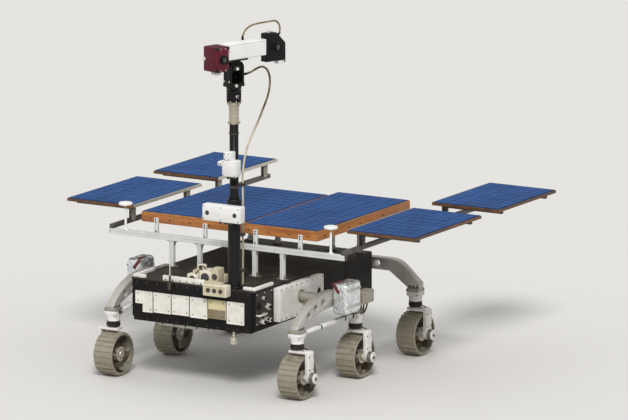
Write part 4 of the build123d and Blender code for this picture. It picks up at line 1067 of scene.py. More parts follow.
deck_case = bmesh.new()
for low_share, high_share, finish in case_blocks:
    low, high = in_case(low_share), in_case(high_share)
    add_block(deck_case, low, high, 0.004, finish, 3)
    window = min(high.y - low.y, high.z - low.z) * 0.28
    rim = Vector((high.x - 0.0005, (low.y + high.y) / 2, (low.z + high.z) / 2))
    add_window(deck_case, rim, window * 1.25, window, 0.0035, 0.003, 0.0015)
    add_bolts(
        deck_case, grid((low.x + 0.010, high.x - 0.010), (low.y + 0.010, high.y - 0.010), high.z), Z,
        0.0028, 2,
    )
for points in case_leads:
    add_tube(deck_case, [in_case(point) for point in points], 0.0035)
case_finishes = (beige_case, ivory_case, dark_fitting, window_glass)
finish_piece("dressed_deck_instrument", deck_case, case_finishes, "beige_case", "deck_instrument")

front_low, front_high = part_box("front_instrument")
front_case = bmesh.new()
add_block(front_case, front_low, front_high - 0.012 * Z, 0.004, steps=3)
lid_low = (front_low.x + 0.008, front_low.y + 0.006, front_high.z - 0.014)
add_block(front_case, lid_low, front_high - Vector((0.006, 0.040, 0)), 0.003, 1)
front_middle = middle_of("front_instrument")
front_middle.x = front_high.x - 0.0005
front_middle.z -= 0.006
add_pocket(front_case, front_middle, 0.068, 0.026, X, 0.002, rim=0.003, finish=1)
for window_y in (-0.040, 0.0, 0.040):
    add_window(front_case, front_middle + window_y * Y, 0.013, 0.0095, 0.003, 0.002, 0.002)
front_finishes = (ivory_case, beige_case, dark_fitting, window_glass)
finish_piece("dressed_front_instrument", front_case, front_finishes, "beige_case", "front_instrument")

ledge = from_cad("deck_bar", 0.002)
ledge_low, ledge_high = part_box("deck_bar")
screw_ys = row(ledge_low.y + 0.02, 0.046, 6)
add_bolts(ledge, grid(ledge_high.x, screw_ys, ledge_low.z + 0.008), X, 0.003)
add_bolts(ledge, grid((ledge_low.x + ledge_high.x) / 2, screw_ys, ledge_high.z), Z, 0.003)
finish_piece("dressed_deck_ledge", ledge, (plate_paint, dark_fitting), "plate_white", "deck_bar")


# Whip antenna. A thin fibreglass rod, pale grey, stands in a black sprung base on the front edge.
whip_low, whip_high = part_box("whip_antenna")
whip_top = whip_high.z - whip_low.z
whip_foot = middle_of("whip_antenna").xy.to_3d() + whip_low.z * Z
fibreglass = dust_and_sheen_finish("grey_fibreglass_rod", "#C9C9C4", "#A99C82", 0.4, cover=(0.3, 0.2))
whip = bmesh.new()
add_block(whip, whip_low, (whip_high.x, whip_high.y, whip_low.z + 0.040), 0.002, 1)
whip_profile = [(0.0, 0.038), (0.008, 0.038), (0.008, 0.046)]
for turn_z in row(0.048, 0.005, 7):
    whip_profile += [(0.0068, turn_z), (0.0052, turn_z + 0.0025)]
whip_profile += [
    (0.0050, 0.086), (0.0034, 0.092), (0.0026, whip_top - 0.012), (0.0045, whip_top - 0.010),
    (0.0045, whip_top - 0.001), (0.0030, whip_top), (0.0, whip_top),
]
spin_profile(whip, whip_profile, whip_foot, steps=16)
colour_faces([face for face in whip.faces if face.calc_center_median().z < whip_low.z + 0.088], 1)
finish_piece("dressed_whip", whip, (fibreglass, dark_fitting), "mast_black", "whip_antenna")


# Rails and posts. Two white square tubes cross the body on posts from the deck and carry all the boards.
# They are extruded aluminium with a slot along each face, screwed together with cast corner blocks.
rail_paint = dust_and_sheen_finish("white_extrusion_paint", "#DFE1E0", "#B3A68A", 0.4, cover=(0.3, 0.25), patch=0.06)
rail_low, rail_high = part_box("panel_rails")
rail_section = rail_high.z - rail_low.z
deck_post_low, deck_post_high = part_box("deck_posts")
post_section = 0.024


def slotted_bar(bm, start, reach, section, level, slot=0.006, depth=0.003):
    """Add an extruded square bar with a slot along each of its four faces."""
    side_way = reach.normalized().cross(level)
    half = section / 2
    half_slot = slot / 2
    quarter = (
        (-half + 0.001, half), (-half_slot, half), (-half_slot, half - depth), (half_slot, half - depth),
        (half_slot, half), (half - 0.001, half),
    )
    outline = []
    for cos_turn, sin_turn in ((1, 0), (0, 1), (-1, 0), (0, -1)):
        outline += [(a * cos_turn + b * sin_turn, b * cos_turn - a * sin_turn) for a, b in quarter]
    add_slab(bm, [Vector(start) + a * side_way + b * level for a, b in outline], reach)


rails = bmesh.new()
rail_z = (rail_low.z + rail_high.z) / 2
rail_half = rail_section / 2
rail_xs = (rail_high.x - rail_half, rail_low.x + rail_half)
for rail_x in rail_xs:
    bar_length = rail_high.y - rail_low.y - 0.006
    slotted_bar(rails, (rail_x, rail_low.y + 0.003, rail_z), bar_length * Y, rail_section, Z)
    for end in (-1, 1):
        cap_from = (rail_x - rail_half, end * (rail_high.y - 0.004), rail_low.z)
        add_block(rails, cap_from, (rail_x + rail_half, end * rail_high.y, rail_high.z), 0.0015, 1)
finish_piece("dressed_rails", rails, (rail_paint, dark_fitting), "rail_white", "panel_rails")

posts = bmesh.new()
post_reach = (deck_post_high.z - deck_post_low.z) * Z
for rail_x, post_y in product(rail_xs, (-0.360, -0.180, 0.180, 0.360)):
    slotted_bar(posts, (rail_x, post_y, deck_post_low.z), post_reach, post_section, X, slot=0.005)
    for foot_z, way in ((deck_post_low.z, 1), (deck_post_high.z, -1)):
        for end in (-1, 1):
            # A bracket of two leaves, one on the deck or rail and one up the post.
            for leaf_y, leaf_z in ((0.034, 0.004), (0.016, 0.024)):
                leaf_to = (rail_x + 0.011, post_y + end * leaf_y, foot_z + way * leaf_z)
                add_block(posts, (rail_x - 0.011, post_y + end * 0.012, foot_z), leaf_to, 0.001, 1, 1)
            add_bolts(posts, [(rail_x, post_y + end * 0.025, foot_z + way * 0.004)], way * Z, 0.004, 2)
finish_piece("dressed_deck_posts", posts, (rail_paint, cast_metal, dark_fitting), "rail_white", "deck_posts")

lap_posts = from_cad("batten_posts", 0.0015)
lap_low, lap_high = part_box("batten_posts")
lap_zs = (lap_high.z - 0.022, lap_high.z - 0.008, lap_low.z + 0.010)
add_bolts(lap_posts, grid(lap_high.x, (-0.470, -0.150, 0.180, 0.470), lap_zs), X, 0.0035)
finish_piece("dressed_batten_posts", lap_posts, (rail_paint, dark_fitting), "rail_white", "batten_posts")


# Boards. The two centre boards are varnished plywood on softwood battens that stand on edge with screws
# in their faces, and their orange-brown front edge shows below the cells.
ply_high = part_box("centre_boards")[1]
ply_layer = 0.0024


def wood_finish(name, light, dark, along, grain_width=0.004):
    """Varnished wood: brown streaks drawn out along the grain, with pores as a fine relief."""
    material, tree, shader, place = start_material(name, 0.42)
    stretch = [1 / grain_width] * 3
    stretch["XYZ".index(along)] /= 18
    drawn = add_node(tree, "Mapping", {"Vector": place, "Scale": stretch}).outputs[0]
    streak = clouds(tree, drawn, 1.0, 5.0, Distortion=0.6)
    broad = add_node(tree, "Mapping", {"Vector": place, "Scale": [value / 6 for value in stretch]}).outputs[0]
    figure = clouds(tree, broad, 1.0)
    share = remap(tree, calculate(tree, "MULTIPLY_ADD", streak, figure, 0.18), 0.28, 0.62)
    colour = mix_colours(tree, share, dark, light)
    rough = remap(tree, figure, to_low=0.32, to_high=0.6)
    wire(tree, shader, colour=colour, rough=rough, relief=bump(tree, streak, 0.3, 0.0006))
    return material, tree, shader, place, colour


pine_across, *_ = wood_finish("varnished_softwood_across", "#C98545", "#8A4E20", "Y")
pine_along, *_ = wood_finish("varnished_softwood_along", "#C98545", "#8A4E20", "X")
plywood, ply_tree, ply_shader, ply_place, ply_colour = wood_finish(
    "varnished_birch_plywood", "#CF9350", "#9A602B", "X", 0.006
)
# Every other layer of the plywood is darker.
ply_height = add_node(ply_tree, "SeparateXYZ", {0: ply_place}).outputs["Z"]
ply_step = calculate(ply_tree, "FRACT", calculate(ply_tree, "MULTIPLY", ply_height, 1 / (2 * ply_layer)))
ply_share = calculate(ply_tree, "MULTIPLY", calculate(ply_tree, "GREATER_THAN", ply_step, 0.5), 0.45)
wire(ply_tree, ply_shader, colour=mix_colours(ply_tree, ply_share, ply_colour, "#7A451C"))
boards = from_cad("centre_boards", 0.0012, 1, 60)
finish_piece("dressed_centre_boards", boards, (plywood,), "board_wood", "centre_boards")

across = from_cad("battens_across", 0.002)
across_low, across_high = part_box("battens_across")
across_z = (across_low.z + across_high.z) / 2
add_bolts(across, grid(across_high.x, row(across_low.y + 0.06, 0.129, 9), across_z), X, 0.0032)
finish_piece("dressed_battens_across", across, (pine_across, dark_fitting), "batten_wood", "battens_across")
along = from_cad("battens_along", 0.002)
along_low, along_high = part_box("battens_along")
along_z = (along_low.z + along_high.z) / 2
for side in (1, -1):
    seats = grid(row(along_high.x - 0.06, -0.13, 7), side * along_high.y, along_z)
    add_bolts(along, seats, side * Y, 0.0032)
finish_piece("dressed_battens_along", along, (pine_along, dark_fitting), "batten_wood", "battens_along")


# Wing boards. Four thinner boards stand out beside the centre ones, plywood too but stained dark, with a
# folded aluminium strip along the inner edge of each.
wing_low, wing_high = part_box("wing_boards")
dark_ply, *_ = wood_finish("dark_stained_plywood", "#7A4E2A", "#3C2817", "X", 0.006)
edge_strip = dust_and_sheen_finish("folded_aluminium_strip", "#C9C7BF", "#B4A587", 0.35, 0.7, (0.4, 0.35))
wings = from_cad("wing_boards", 0.0015, 1, 60)
wing_rows = (
    # back of the front edge from the front axle, length, inner y, outer y
    (0.370, 0.750, 0.700, 1.140),
    (1.310, 0.675, 0.710, 1.145),
)
for (back, length, inner_y, _), side in product(wing_rows, (1, -1)):
    strip_x = front_axle_x - back - length + 0.010
    strip_end = front_axle_x - back - 0.010
    strip_y = side * (inner_y - 0.0018)
    top_end = (strip_end, side * (inner_y + 0.014), wing_high.z + 0.0018)
    add_block(wings, (strip_x, strip_y, wing_high.z - 0.0005), top_end, 0.0006, 1, 1)
    wall_end = (strip_end, side * inner_y, wing_high.z + 0.001)
    add_block(wings, (strip_x, strip_y, wing_low.z + 0.001), wall_end, finish=1)
finish_piece("dressed_wing_boards", wings, (dark_ply, edge_strip), "wing_metal", "wing_boards")


# Solar cells. A thin blue sheet is bonded on every board, and on it lie rows of mono-crystalline cells
# with cut corners under clear film, each with two tinned busbars along the board.
cell_pitch = 0.0785
cell_gap = 0.003
cell_corner = 0.010
cell_top = 0.0007
cell_margin = 0.010
busbar_half = 0.0011


def cell_finish(name, deep, bright):
    """Silicon under clear film: deep blue, and an anti-reflection coating keeps it from mirroring the sky."""
    material, tree, shader, place = start_material(name, 0.45)
    shader.inputs["Specular IOR Level"].default_value = 0.03
    crystal = add_node(tree, "TexVoronoi", {"Vector": place, "Scale": 90.0}).outputs["Color"]
    share = remap(tree, mix_colours(tree, 0.12, clouds(tree, place, 6.0, 3.0), crystal), 0.3, 0.7)
    dust_and_sheen = clouds(tree, place, 14.0, 6.0)
    film = remap(tree, dust_and_sheen, 0.5, 0.85, to_high=0.09)
    colour = mix_colours(tree, film, mix_colours(tree, share, deep, bright), "#9C9482")
    wire(tree, shader, colour=colour, rough=remap(tree, dust_and_sheen, to_low=0.4, to_high=0.6))
    return material


cell_blue = cell_finish("blue_silicon_cell", "#123E74", "#1C4F8C")
sheet_blue = cell_finish("blue_backing_sheet", "#12305F", "#1A4270")
busbar_silver, bus_tree, bus_shader, bus_place = start_material("tinned_busbar", 0.55, 0.3)
wire(
    bus_tree, bus_shader,
    colour=mix_colours(bus_tree, clouds(bus_tree, bus_place, 40.0), "#3F5F92", "#5676A8"),
)
sheets = from_cad("cell_sheets", 0.0)
cell_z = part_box("cell_sheets")[1].z + cell_top
board_areas = [
    # x from, x to, y from, y to
    (ply_high.x - 0.938, ply_high.x, -0.574, 0.099),
    (ply_high.x - 1.038, ply_high.x, 0.101, 0.574),
]
for back, length, inner_y, outer_y in wing_rows:
    high_x = front_axle_x - back
    board_areas += [(high_x - length, high_x, *ys) for ys in ((inner_y, outer_y), (-outer_y, -inner_y))]
for low_x, high_x, low_y, high_y in board_areas:
    places = []
    pitches = []
    for low, high in ((low_x, high_x), (low_y, high_y)):
        room = high - low - 2 * cell_margin
        count = int(room / cell_pitch + 0.35)
        pitches.append(room / count)
        places.append([(low + high) / 2 + (n - (count - 1) / 2) * room / count for n in range(count)])
    half_x, half_y = [(pitch - cell_gap) / 2 for pitch in pitches]
    corner = [(half_x, half_y - cell_corner), (half_x - cell_corner, half_y)]
    half_outline = corner + [(-a, b) for a, b in reversed(corner)]
    outline = half_outline + [(-a, -b) for a, b in half_outline]
    for cell_x, cell_y in product(*places):
        top = sheets.faces.new([sheets.verts.new((cell_x + a, cell_y + b, cell_z)) for a, b in outline])
        top.material_index = 1
        lower = verts_in(bmesh.ops.extrude_edge_only(sheets, edges=top.edges)["geom"])
        bmesh.ops.translate(sheets, verts=lower, vec=-cell_top * Z)
        colour_faces(faces_on(lower), 1)
        for bar in (-0.24, 0.24):
            middle = Vector((cell_x, cell_y + bar * pitches[1], cell_z))
            bar_low = middle - Vector((half_x - 0.001, busbar_half, 0.0002))
            add_block(sheets, bar_low, middle + Vector((half_x - 0.001, busbar_half, 0.0003)), finish=2)
finish_piece("dressed_cells", sheets, (sheet_blue, cell_blue, busbar_silver), "cell_blue", "cell_sheets")


# Wing frame. Dark anodised square tubes run back from the rail ends, with short uprights and ribs under
# the wing boards, all bolted with corner plates.
anodised = dust_and_sheen_finish("dark_anodised_tube", "#4A4A4C", "#9A8D74", 0.4, 0.6, (0.4, 0.3))
for title in ("spars", "ribs", "uprights"):
    node = "wing_" + title
    frame_part = from_cad(node, 0.0018)
    low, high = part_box(node)
    plated_rows = wing_rows if title == "uprights" else ()
    for (back, length, *_), end, side in product(plated_rows, (0, 1), (1, -1)):
        x = front_axle_x - back - (length - 0.080 if end else 0.080)
        plate_y = side * (0.757 - 0.0125)
        face_y = plate_y - side * 0.003
        add_block(
            frame_part, (x - 0.022, plate_y, low.z - 0.018), (x + 0.022, face_y, high.z + 0.012), 0.001, 1,
            1,
        )
        seats = grid((x - 0.014, x + 0.014), face_y, (low.z - 0.010, high.z + 0.004))
        add_bolts(frame_part, seats, -side * Y, 0.0035, 2)
    finish_piece("dressed_" + title, frame_part, (anodised, cast_metal, dark_fitting), "wing_metal", node)


# Disc antennas. A white moulded radome with a rounded rim stands on a slim post at each end of the front
# rail, with a brass connector under it.
radome = dust_and_sheen_finish("white_moulded_radome", "#F4F3EF", "#C3B69C", 0.35, cover=(0.3, 0.2), patch=0.03)
brass = dust_and_sheen_finish("brass_connector", "#A8894E", "#8F7B55", 0.35, 0.8, (0.2, 0.15))
disc_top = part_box("disc_antennas")[1].z - rail_high.z
disc_profile = (
    (0.0, 0.0), (0.018, 0.0), (0.018, 0.004), (0.009, 0.006), (0.007, 0.012), (0.007, disc_top - 0.030),
    (0.011, disc_top - 0.024), (0.034, disc_top - 0.018), (0.039, disc_top - 0.016),
    (0.040, disc_top - 0.012), (0.0395, disc_top - 0.008), (0.036, disc_top - 0.004),
    (0.026, disc_top - 0.0014), (0.012, disc_top - 0.0002), (0.0, disc_top),
)
discs = bmesh.new()
for side in (1, -1):
    foot = Vector((rail_xs[0], side * 0.670, rail_high.z))
    spin_profile(discs, disc_profile, foot, steps=40)
    add_drum(discs, foot + (disc_top - 0.036) * Z, 0.010 * Z, 0.0095, sides=6, rounding=0.0008, finish=1)
    add_bolts(discs, [foot + 0.0135 * way + 0.004 * Z for way in ring(3)], Z, 0.0022, 2)
finish_piece("dressed_disc_antennas", discs, (radome, brass, dark_fitting), "antenna_white", "disc_antennas")


# Mast. Two black anodised tubes slide one in the other, clamped by a split collar, on a gusseted foot
# bolted to the deck. The adapter at the top is turned from bare alloy.
mast_finish = dust_and_sheen_finish("black_anodised_tube", "#0F0F11", "#4A4236", 0.4, 0.2, (0.3, 0.08), 0.07, 0.25)
adapter_metal = dust_and_sheen_finish("turned_beige_alloy", "#B9B0A0", "#A39473", 0.32, 0.6, (0.4, 0.3), 0.03)
mast_low, mast_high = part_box("mast_lower")
upper_low, upper_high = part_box("mast_upper")
adapter_low, adapter_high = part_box("mast_adapter")
lower_mast = from_cad("mast_lower", 0.0015, sharpest=60)
foot_top = mast_line + (mast_low.z + 0.012) * Z
add_bolts(lower_mast, [foot_top + 0.049 * way for way in ring(4, 0.5)], Z, 0.005)
for flat in ring(4):
    across_flat = flat.cross(Z)
    root = foot_top + 0.034 * flat - 0.003 * across_flat
    add_slab(lower_mast, [root, root + 0.007 * flat, root + 0.040 * Z], 0.006 * across_flat)
collar_profile = ((0.034, -0.045), (0.040, -0.043), (0.040, -0.006), (0.038, -0.002), (0.034, -0.001))
collar = mast_line + mast_high.z * Z
spin_profile(lower_mast, collar_profile, collar, steps=40)
for ear_y in (-0.010, 0.004):
    add_block(
        lower_mast, collar + Vector((-0.056, ear_y, -0.042)),
        collar + Vector((-0.036, ear_y + 0.006, -0.008)), 0.001,
    )
add_bolts(lower_mast, [collar + at for at in grid(-0.047, -0.010, (-0.034, -0.016))], -Y, 0.004)
finish_piece("dressed_mast_lower", lower_mast, (mast_finish, dark_fitting), "mast_black", "mast_lower")

upper_mast = from_cad("mast_upper", 0.0015, sharpest=60)
band_profile = ((0.0245, 0.0), (0.0275, 0.001), (0.0275, 0.013), (0.0245, 0.014))
for band_z in (upper_low.z + 0.060, upper_high.z - 0.060):
    spin_profile(upper_mast, band_profile, mast_line + band_z * Z, steps=36, finish=1)
    add_bolts(upper_mast, [mast_line + Vector((0, -0.0275, band_z + 0.007))], -Y, 0.0035)
finish_piece("dressed_mast_upper", upper_mast, (mast_finish, dark_fitting), "mast_black", "mast_upper")

adapter = bmesh.new()
adapter_foot = mast_line + adapter_low.z * Z
adapter_top = adapter_high.z - adapter_low.z
adapter_profile = (
    (0.0, 0.0), (0.031, 0.0), (0.033, 0.002), (0.033, 0.012), (0.028, 0.014), (0.028, 0.050), (0.0265, 0.052),
    (0.0265, 0.058), (0.028, 0.060), (0.028, adapter_top - 0.030), (0.034, adapter_top - 0.016),
    (0.037, adapter_top - 0.014), (0.037, adapter_top - 0.001), (0.036, adapter_top), (0.0, adapter_top),
)
spin_profile(adapter, adapter_profile, adapter_foot)
for way in ring(6):
    add_bolts(adapter, [adapter_foot + 0.007 * Z + 0.033 * way], way, 0.003)
    add_bolts(adapter, [adapter_foot + (adapter_top - 0.007) * Z + 0.037 * way], way, 0.0028)
finish_piece("dressed_adapter", adapter, (adapter_metal, dark_fitting), "adapter_metal", "mast_adapter")


# Mast boxes. The wide white box holds a pair of hazard cameras behind small windows, and the upper one a
# radio. Both are die cast with screwed lids and are clamped to the front of the mast.
camera_box_low, camera_box_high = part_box("mast_camera_box")
radio_low, radio_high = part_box("mast_box")
cast_white = dust_and_sheen_finish("white_die_cast_case", "#F2F1EE", "#C4B89E", 0.38, cover=(0.4, 0.22), patch=0.03)


def add_lidded_box(bm, low, high, lid_depth, screw_inset, screw_radius, middle_screws=False):
    """Add a die cast box that faces forward, with its lid and the lid's screws in line with its face."""
    add_block(bm, low, (high.x - 0.006, high.y, high.z), 0.005, steps=3)
    lid_low = (high.x - lid_depth, low.y + 0.003, low.z + 0.003)
    add_block(bm, lid_low, (high.x - 0.001, high.y - 0.003, high.z - 0.003), 0.002)
    screw_ys = [low.y + screw_inset, high.y - screw_inset]
    if middle_screws:
        screw_ys.insert(1, (low.y + high.y) / 2)
    for seat in grid(high.x - 0.0015, screw_ys, (low.z + screw_inset, high.z - screw_inset)):
        add_drum(bm, seat, 0.0015 * X, screw_radius, sides=12, finish=1)


wide_box = bmesh.new()
add_lidded_box(wide_box, camera_box_low, camera_box_high, 0.007, 0.011, 0.0035, True)
window_z = (camera_box_low.z + camera_box_high.z) / 2
for rim in grid(camera_box_high.x - 0.0035, (camera_box_low.y + 0.034, camera_box_high.y - 0.034), window_z):
    add_window(wide_box, rim, 0.013, 0.0095, 0.0035, 0.002, 0.0022, 1, 28, 0.0008)
for plug in grid(camera_box_low.x + 0.028, row(camera_box_low.y + 0.10, 0.035, 3), camera_box_low.z):
    add_drum(wide_box, plug, -0.014 * Z, 0.008, 0.007, 20, 0.001, 1)
finish_piece(
    "dressed_camera_box", wide_box, (cast_white, dark_fitting, window_glass), "plate_white",
    "mast_camera_box",
)

radio = bmesh.new()
radio_foot = radio_high.z - 0.138
radio_blocks = (
    # across from and to, from the middle of the mast, bottom and top from the foot of the box
    (-0.030, 0.060, 0.000, 0.092),
    (-0.020, 0.026, 0.090, 0.138),
    (-0.060, -0.028, 0.056, 0.082),
)
for block_from, block_to, block_bottom, block_top in radio_blocks:
    low = Vector((radio_low.x, mast_y + block_from, radio_foot + block_bottom))
    add_lidded_box(
        radio, low, Vector((radio_high.x, mast_y + block_to, radio_foot + block_top)), 0.008, 0.009, 0.003,
    )
for plug in grid(radio_low.x + 0.030, (mast_y - 0.006, mast_y + 0.036), radio_foot):
    add_drum(radio, plug, -0.016 * Z, 0.009, 0.008, 20, 0.001, 1)
for clamp_z, side in product((radio_foot + 0.020, radio_foot + 0.070), (-1, 1)):
    clamp_to = (radio_low.x + 0.004, mast_y + side * 0.0255, clamp_z + 0.012)
    add_block(radio, (mast_x - 0.028, mast_y + side * 0.030, clamp_z), clamp_to, 0.001, 1)
finish_piece("dressed_mast_box", radio, (cast_white, dark_fitting), "plate_white", "mast_box")


# Mast cable and clips. The cable comes down the mast in a pale braided sleeve and dives through the deck;
# moulded black clips hold it off the tube.
pale_sleeve = cable_sleeve("braided_sleeve_cream", "#D3CBB2", "#A69C84", 0.9, 1.15)
cable_low, cable_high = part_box("mast_cable")
cable_across = 0.062
waves = (
    # how far the cable stands off its straight line, height
    (0.0, cable_high.z), (0.0, 1.150), (0.003, 1.080), (-0.002, 1.000), (0.0, 0.930), (0.0, 0.880),
    (0.003, 0.820), (0.0, 0.740), (0.0, 0.680), (0.0, cable_low.z + 0.002),
)
sleeve = bmesh.new()
add_tube(sleeve, [head_place(stand, cable_across, height) for stand, height in waves], cable_diameter / 2, 0)
grommet_profile = ((0.005, 0.0), (0.013, 0.0), (0.013, 0.003), (0.009, 0.012), (0.005, 0.012))
spin_profile(sleeve, grommet_profile, head_place(0, cable_across, cable_low.z), steps=24, finish=1)
finish_piece(
    "dressed_mast_cable", sleeve, (pale_sleeve, port_rubber), "cable_jacket", "mast_cable", sharp_angle=60,
)
nylon = dust_and_sheen_finish("black_nylon_clip", "#1C1C1C", "#6A5F4C", 0.5, cover=(0.3, 0.15))
clips = from_cad("cable_clips", 0.001, 1, 60)
for end in (-1, 1):
    seats = [head_place(end * 0.010, 0.048, clip_z) for clip_z in (1.182, 0.900, 0.700)]
    add_bolts(clips, seats, head_place(end, 0, 0) - mast_line, 0.003)
finish_piece("dressed_clips", clips, (nylon, dark_fitting), "camera_black", "cable_clips")


# Pan unit. A black anodised motor housing is bolted on the adapter, and a yoke with two ears turns on it.
# Plated connectors, a bearing cap and the gland of the head cable shine out of the black.
pan_bottom = 1.655
pan_top = 1.720
turntable_bottom = 1.726
yoke_bottom = 1.740
ear_bottom = 1.760
tilt_z = 1.845
gland_z = 1.800
ear_inner = 0.038
ear_outer = 0.050
ear_half = 0.030
pan_black = dust_and_sheen_finish("black_anodised_housing", "#0D0D0F", "#453E33", 0.4, 0.2, (0.2, 0.1), 0.02, 0.25)


def finish_head(name, bm, materials, slot, node, body="head_tilt"):
    """Turn a piece built along the way the head looks, across it and up, to its place, and finish it."""
    head_turn = Matrix.Translation(mast_line) @ Matrix.Rotation(head_yaw, 4, "Z")
    bmesh.ops.transform(bm, matrix=head_turn, verts=bm.verts)
    finish_piece(name, bm, materials, slot, node, body=body)


pan_base = bmesh.new()
pan_profile = (
    (0.0, pan_bottom), (0.042, pan_bottom), (0.042, pan_bottom + 0.008), (0.0385, pan_bottom + 0.010),
    (0.0385, pan_top - 0.014), (0.042, pan_top - 0.012), (0.042, pan_top - 0.001), (0.041, pan_top),
    (0.0155, pan_top), (0.0155, pan_top - 0.025), (0.0, pan_top - 0.025),
)
spin_profile(pan_base, pan_profile, (0, 0, 0))
for way in ring(8, 0.5):
    add_bolts(pan_base, [0.042 * way + (pan_bottom + 0.004) * Z], way, 0.0022)
for n, way in enumerate(ring(12)):
    rib_low = 0.0395 * way + Vector((-0.0015, -0.0012, pan_bottom + 0.012))
    rib_high = 0.0395 * way + Vector((0.0015, 0.0012, pan_top - 0.016))
    add_block(pan_base, rib_low, rib_high, turn=Matrix.Rotation(2 * math.pi * n / 12, 3, "Z"))
connector = Vector((0.0385, -0.012, 1.688))
add_drum(pan_base, connector, 0.009 * X, 0.0085, sides=24, rounding=0.001, finish=1)
add_drum(pan_base, connector + 0.008 * X, 0.002 * X, 0.006, sides=20)
finish_head("dressed_pan_base", pan_base, (pan_black, plated), "mast_black", "pan_base", "root")

yoke = bmesh.new()
turntable_profile = (
    (0.0, turntable_bottom), (0.0, pan_top - 0.024), (0.015, pan_top - 0.024), (0.015, turntable_bottom),
    (0.041, turntable_bottom), (0.042, turntable_bottom + 0.001), (0.042, yoke_bottom - 0.002),
    (0.040, yoke_bottom + 0.001), (0.0, yoke_bottom + 0.001),
)
bearing_profile = ((0.0095, 0.0), (0.018, 0.0), (0.018, 0.0045), (0.016, 0.006), (0.0095, 0.006))
spin_profile(yoke, turntable_profile, (0, 0, 0))
add_block(yoke, (-0.035, -ear_outer, yoke_bottom), (0.035, ear_outer, ear_bottom), 0.003)
add_block(yoke, (-0.031, -ear_inner, ear_bottom - 0.001), (-0.0285, ear_inner, 1.812), 0.0006)
for end in (-1, 1):
    bore = bmesh.ops.create_circle(yoke, segments=32, radius=0.0083)["verts"]
    rim = bmesh.ops.create_circle(yoke, segments=32, radius=ear_half)["verts"]
    # The lower half of the ear runs straight down to the yoke's bar.
    for vert in rim:
        if vert.co.y < -0.0001:
            vert.co.x = math.copysign(ear_half, vert.co.x) if abs(vert.co.x) > 0.0292 else vert.co.x
            vert.co.y = ear_bottom - tilt_z - 0.002
    loops = {edge for vert in bore + rim for edge in vert.link_edges}
    cheek = bmesh.ops.bridge_loops(yoke, edges=list(loops))["faces"]
    moved = verts_in(bmesh.ops.extrude_face_region(yoke, geom=cheek)["geom"])
    bmesh.ops.translate(yoke, verts=moved, vec=(ear_outer - ear_inner) * Z)
    ear_verts = bore + rim + moved
    ear_start = Matrix.Translation((0, ear_outer if end > 0 else -ear_inner, tilt_z))
    bmesh.ops.transform(yoke, matrix=ear_start @ Matrix.Rotation(math.radians(90), 4, "X"), verts=ear_verts)
    ear_faces = faces_on(ear_verts)
    bmesh.ops.recalc_face_normals(yoke, faces=ear_faces)
    round_edges(yoke, ear_faces, 0.0018, 2, sharpest=60)
    add_bolts(yoke, grid((-0.020, 0.020), end * ear_outer, ear_bottom + 0.012), end * Y, 0.0035)
    spin_profile(yoke, bearing_profile, (0, end * ear_outer, tilt_z), end * Y, steps=32, finish=1)
add_drum(yoke, (0.035, -0.016, 1.7495), 0.010 * X, 0.0088, sides=24, rounding=0.001, finish=1)
gland_steps = (
    # across from, length, radius, end radius, sides, finish
    (0.050, 0.003, 0.0125, 0.0125, 24, 1),
    (0.053, 0.008, 0.0115, 0.0115, 6, 1),
    (0.061, 0.003, 0.0095, 0.0085, 24, 1),
    (0.063, 0.033, 0.0085, 0.0064, 24, 2),
)
for step_from, length, radius, end_radius, sides, finish in gland_steps:
    add_drum(yoke, (0, step_from, gland_z), length * Y, radius, end_radius, sides, 0.0006, finish)
finish_head("dressed_yoke", yoke, (pan_black, plated, port_rubber), "mast_black", "pan_yoke", "head_pan")


# Tilt block. A second motor drum lies between the ears on two pins, and a milled neck and plate on top of
# it carry the bench.
tilt_block = bmesh.new()
tilt_profile = mirrored(((0.028, 0.022), (0.030, 0.024), (0.030, 0.030), (0.027, 0.032), (0.0, 0.032)))
spin_profile(tilt_block, tilt_profile, (0, 0, tilt_z), Y, steps=40)
add_drum(tilt_block, (0, -0.0497, tilt_z), 0.0994 * Y, 0.008, rounding=0.0008, finish=1)
add_block(tilt_block, (-0.021, -0.032, tilt_z), (0.021, 0.032, 1.887), 0.002)
add_block(tilt_block, (-0.035, -0.075, 1.885), (0.035, 0.075, 1.895), 0.0015)
add_bolts(tilt_block, grid((-0.027, 0.027), (-0.064, -0.045, 0.045, 0.064), 1.885), -Z, 0.003)
for fin_z in row(tilt_z + 0.010, 0.006, 5):
    add_block(tilt_block, (0.019, -0.026, fin_z), (0.026, 0.026, fin_z + 0.0025), 0.0006, steps=1)
add_drum(tilt_block, (0.0275, 0.0, tilt_z - 0.004), 0.007 * X, 0.0105, 0.009, 28, 0.001, 1)
finish_head("dressed_tilt_block", tilt_block, (pan_black, plated), "mast_black", "tilt_block")


# Camera bench. A long box of folded aluminium sheet, sprayed gloss white, holds the far camera electronics.
# Its lid and its front covers are screwed on.
bench_from = -0.082
bench_to = 0.205
bench_low = 1.895
bench_high = 1.985
bench_half = 0.040
bench_paint = dust_and_sheen_finish("gloss_white_spray", "#FAF9F6", "#D8D2C4", 0.28, cover=(0.3, 0.22), patch=0.04)
bench = bmesh.new()
add_block(
    bench, (0.001 - bench_half, bench_from, bench_low), (bench_half - 0.002, bench_to, bench_high - 0.003),
    0.004, steps=3,
)
lid_low = (-bench_half, bench_from + 0.001, bench_high - 0.010)
add_block(bench, lid_low, (bench_half, bench_to - 0.001, bench_high), 0.003, steps=3)
for cover_from, cover_to in ((bench_from + 0.008, 0.030), (0.038, bench_to - 0.008)):
    middle = Vector((bench_half - 0.002, (cover_from + cover_to) / 2, (bench_low + bench_high - 0.010) / 2))
    half_across = (cover_to - cover_from) / 2
    add_pocket(bench, middle, half_across, 0.034, X, 0.0018)
    for at in grid(-0.0006, (0.009 - half_across, half_across - 0.009), (-0.027, 0.027)):
        add_drum(bench, middle + at, 0.0018 * X, 0.0026, 0.0022, 12, finish=1)
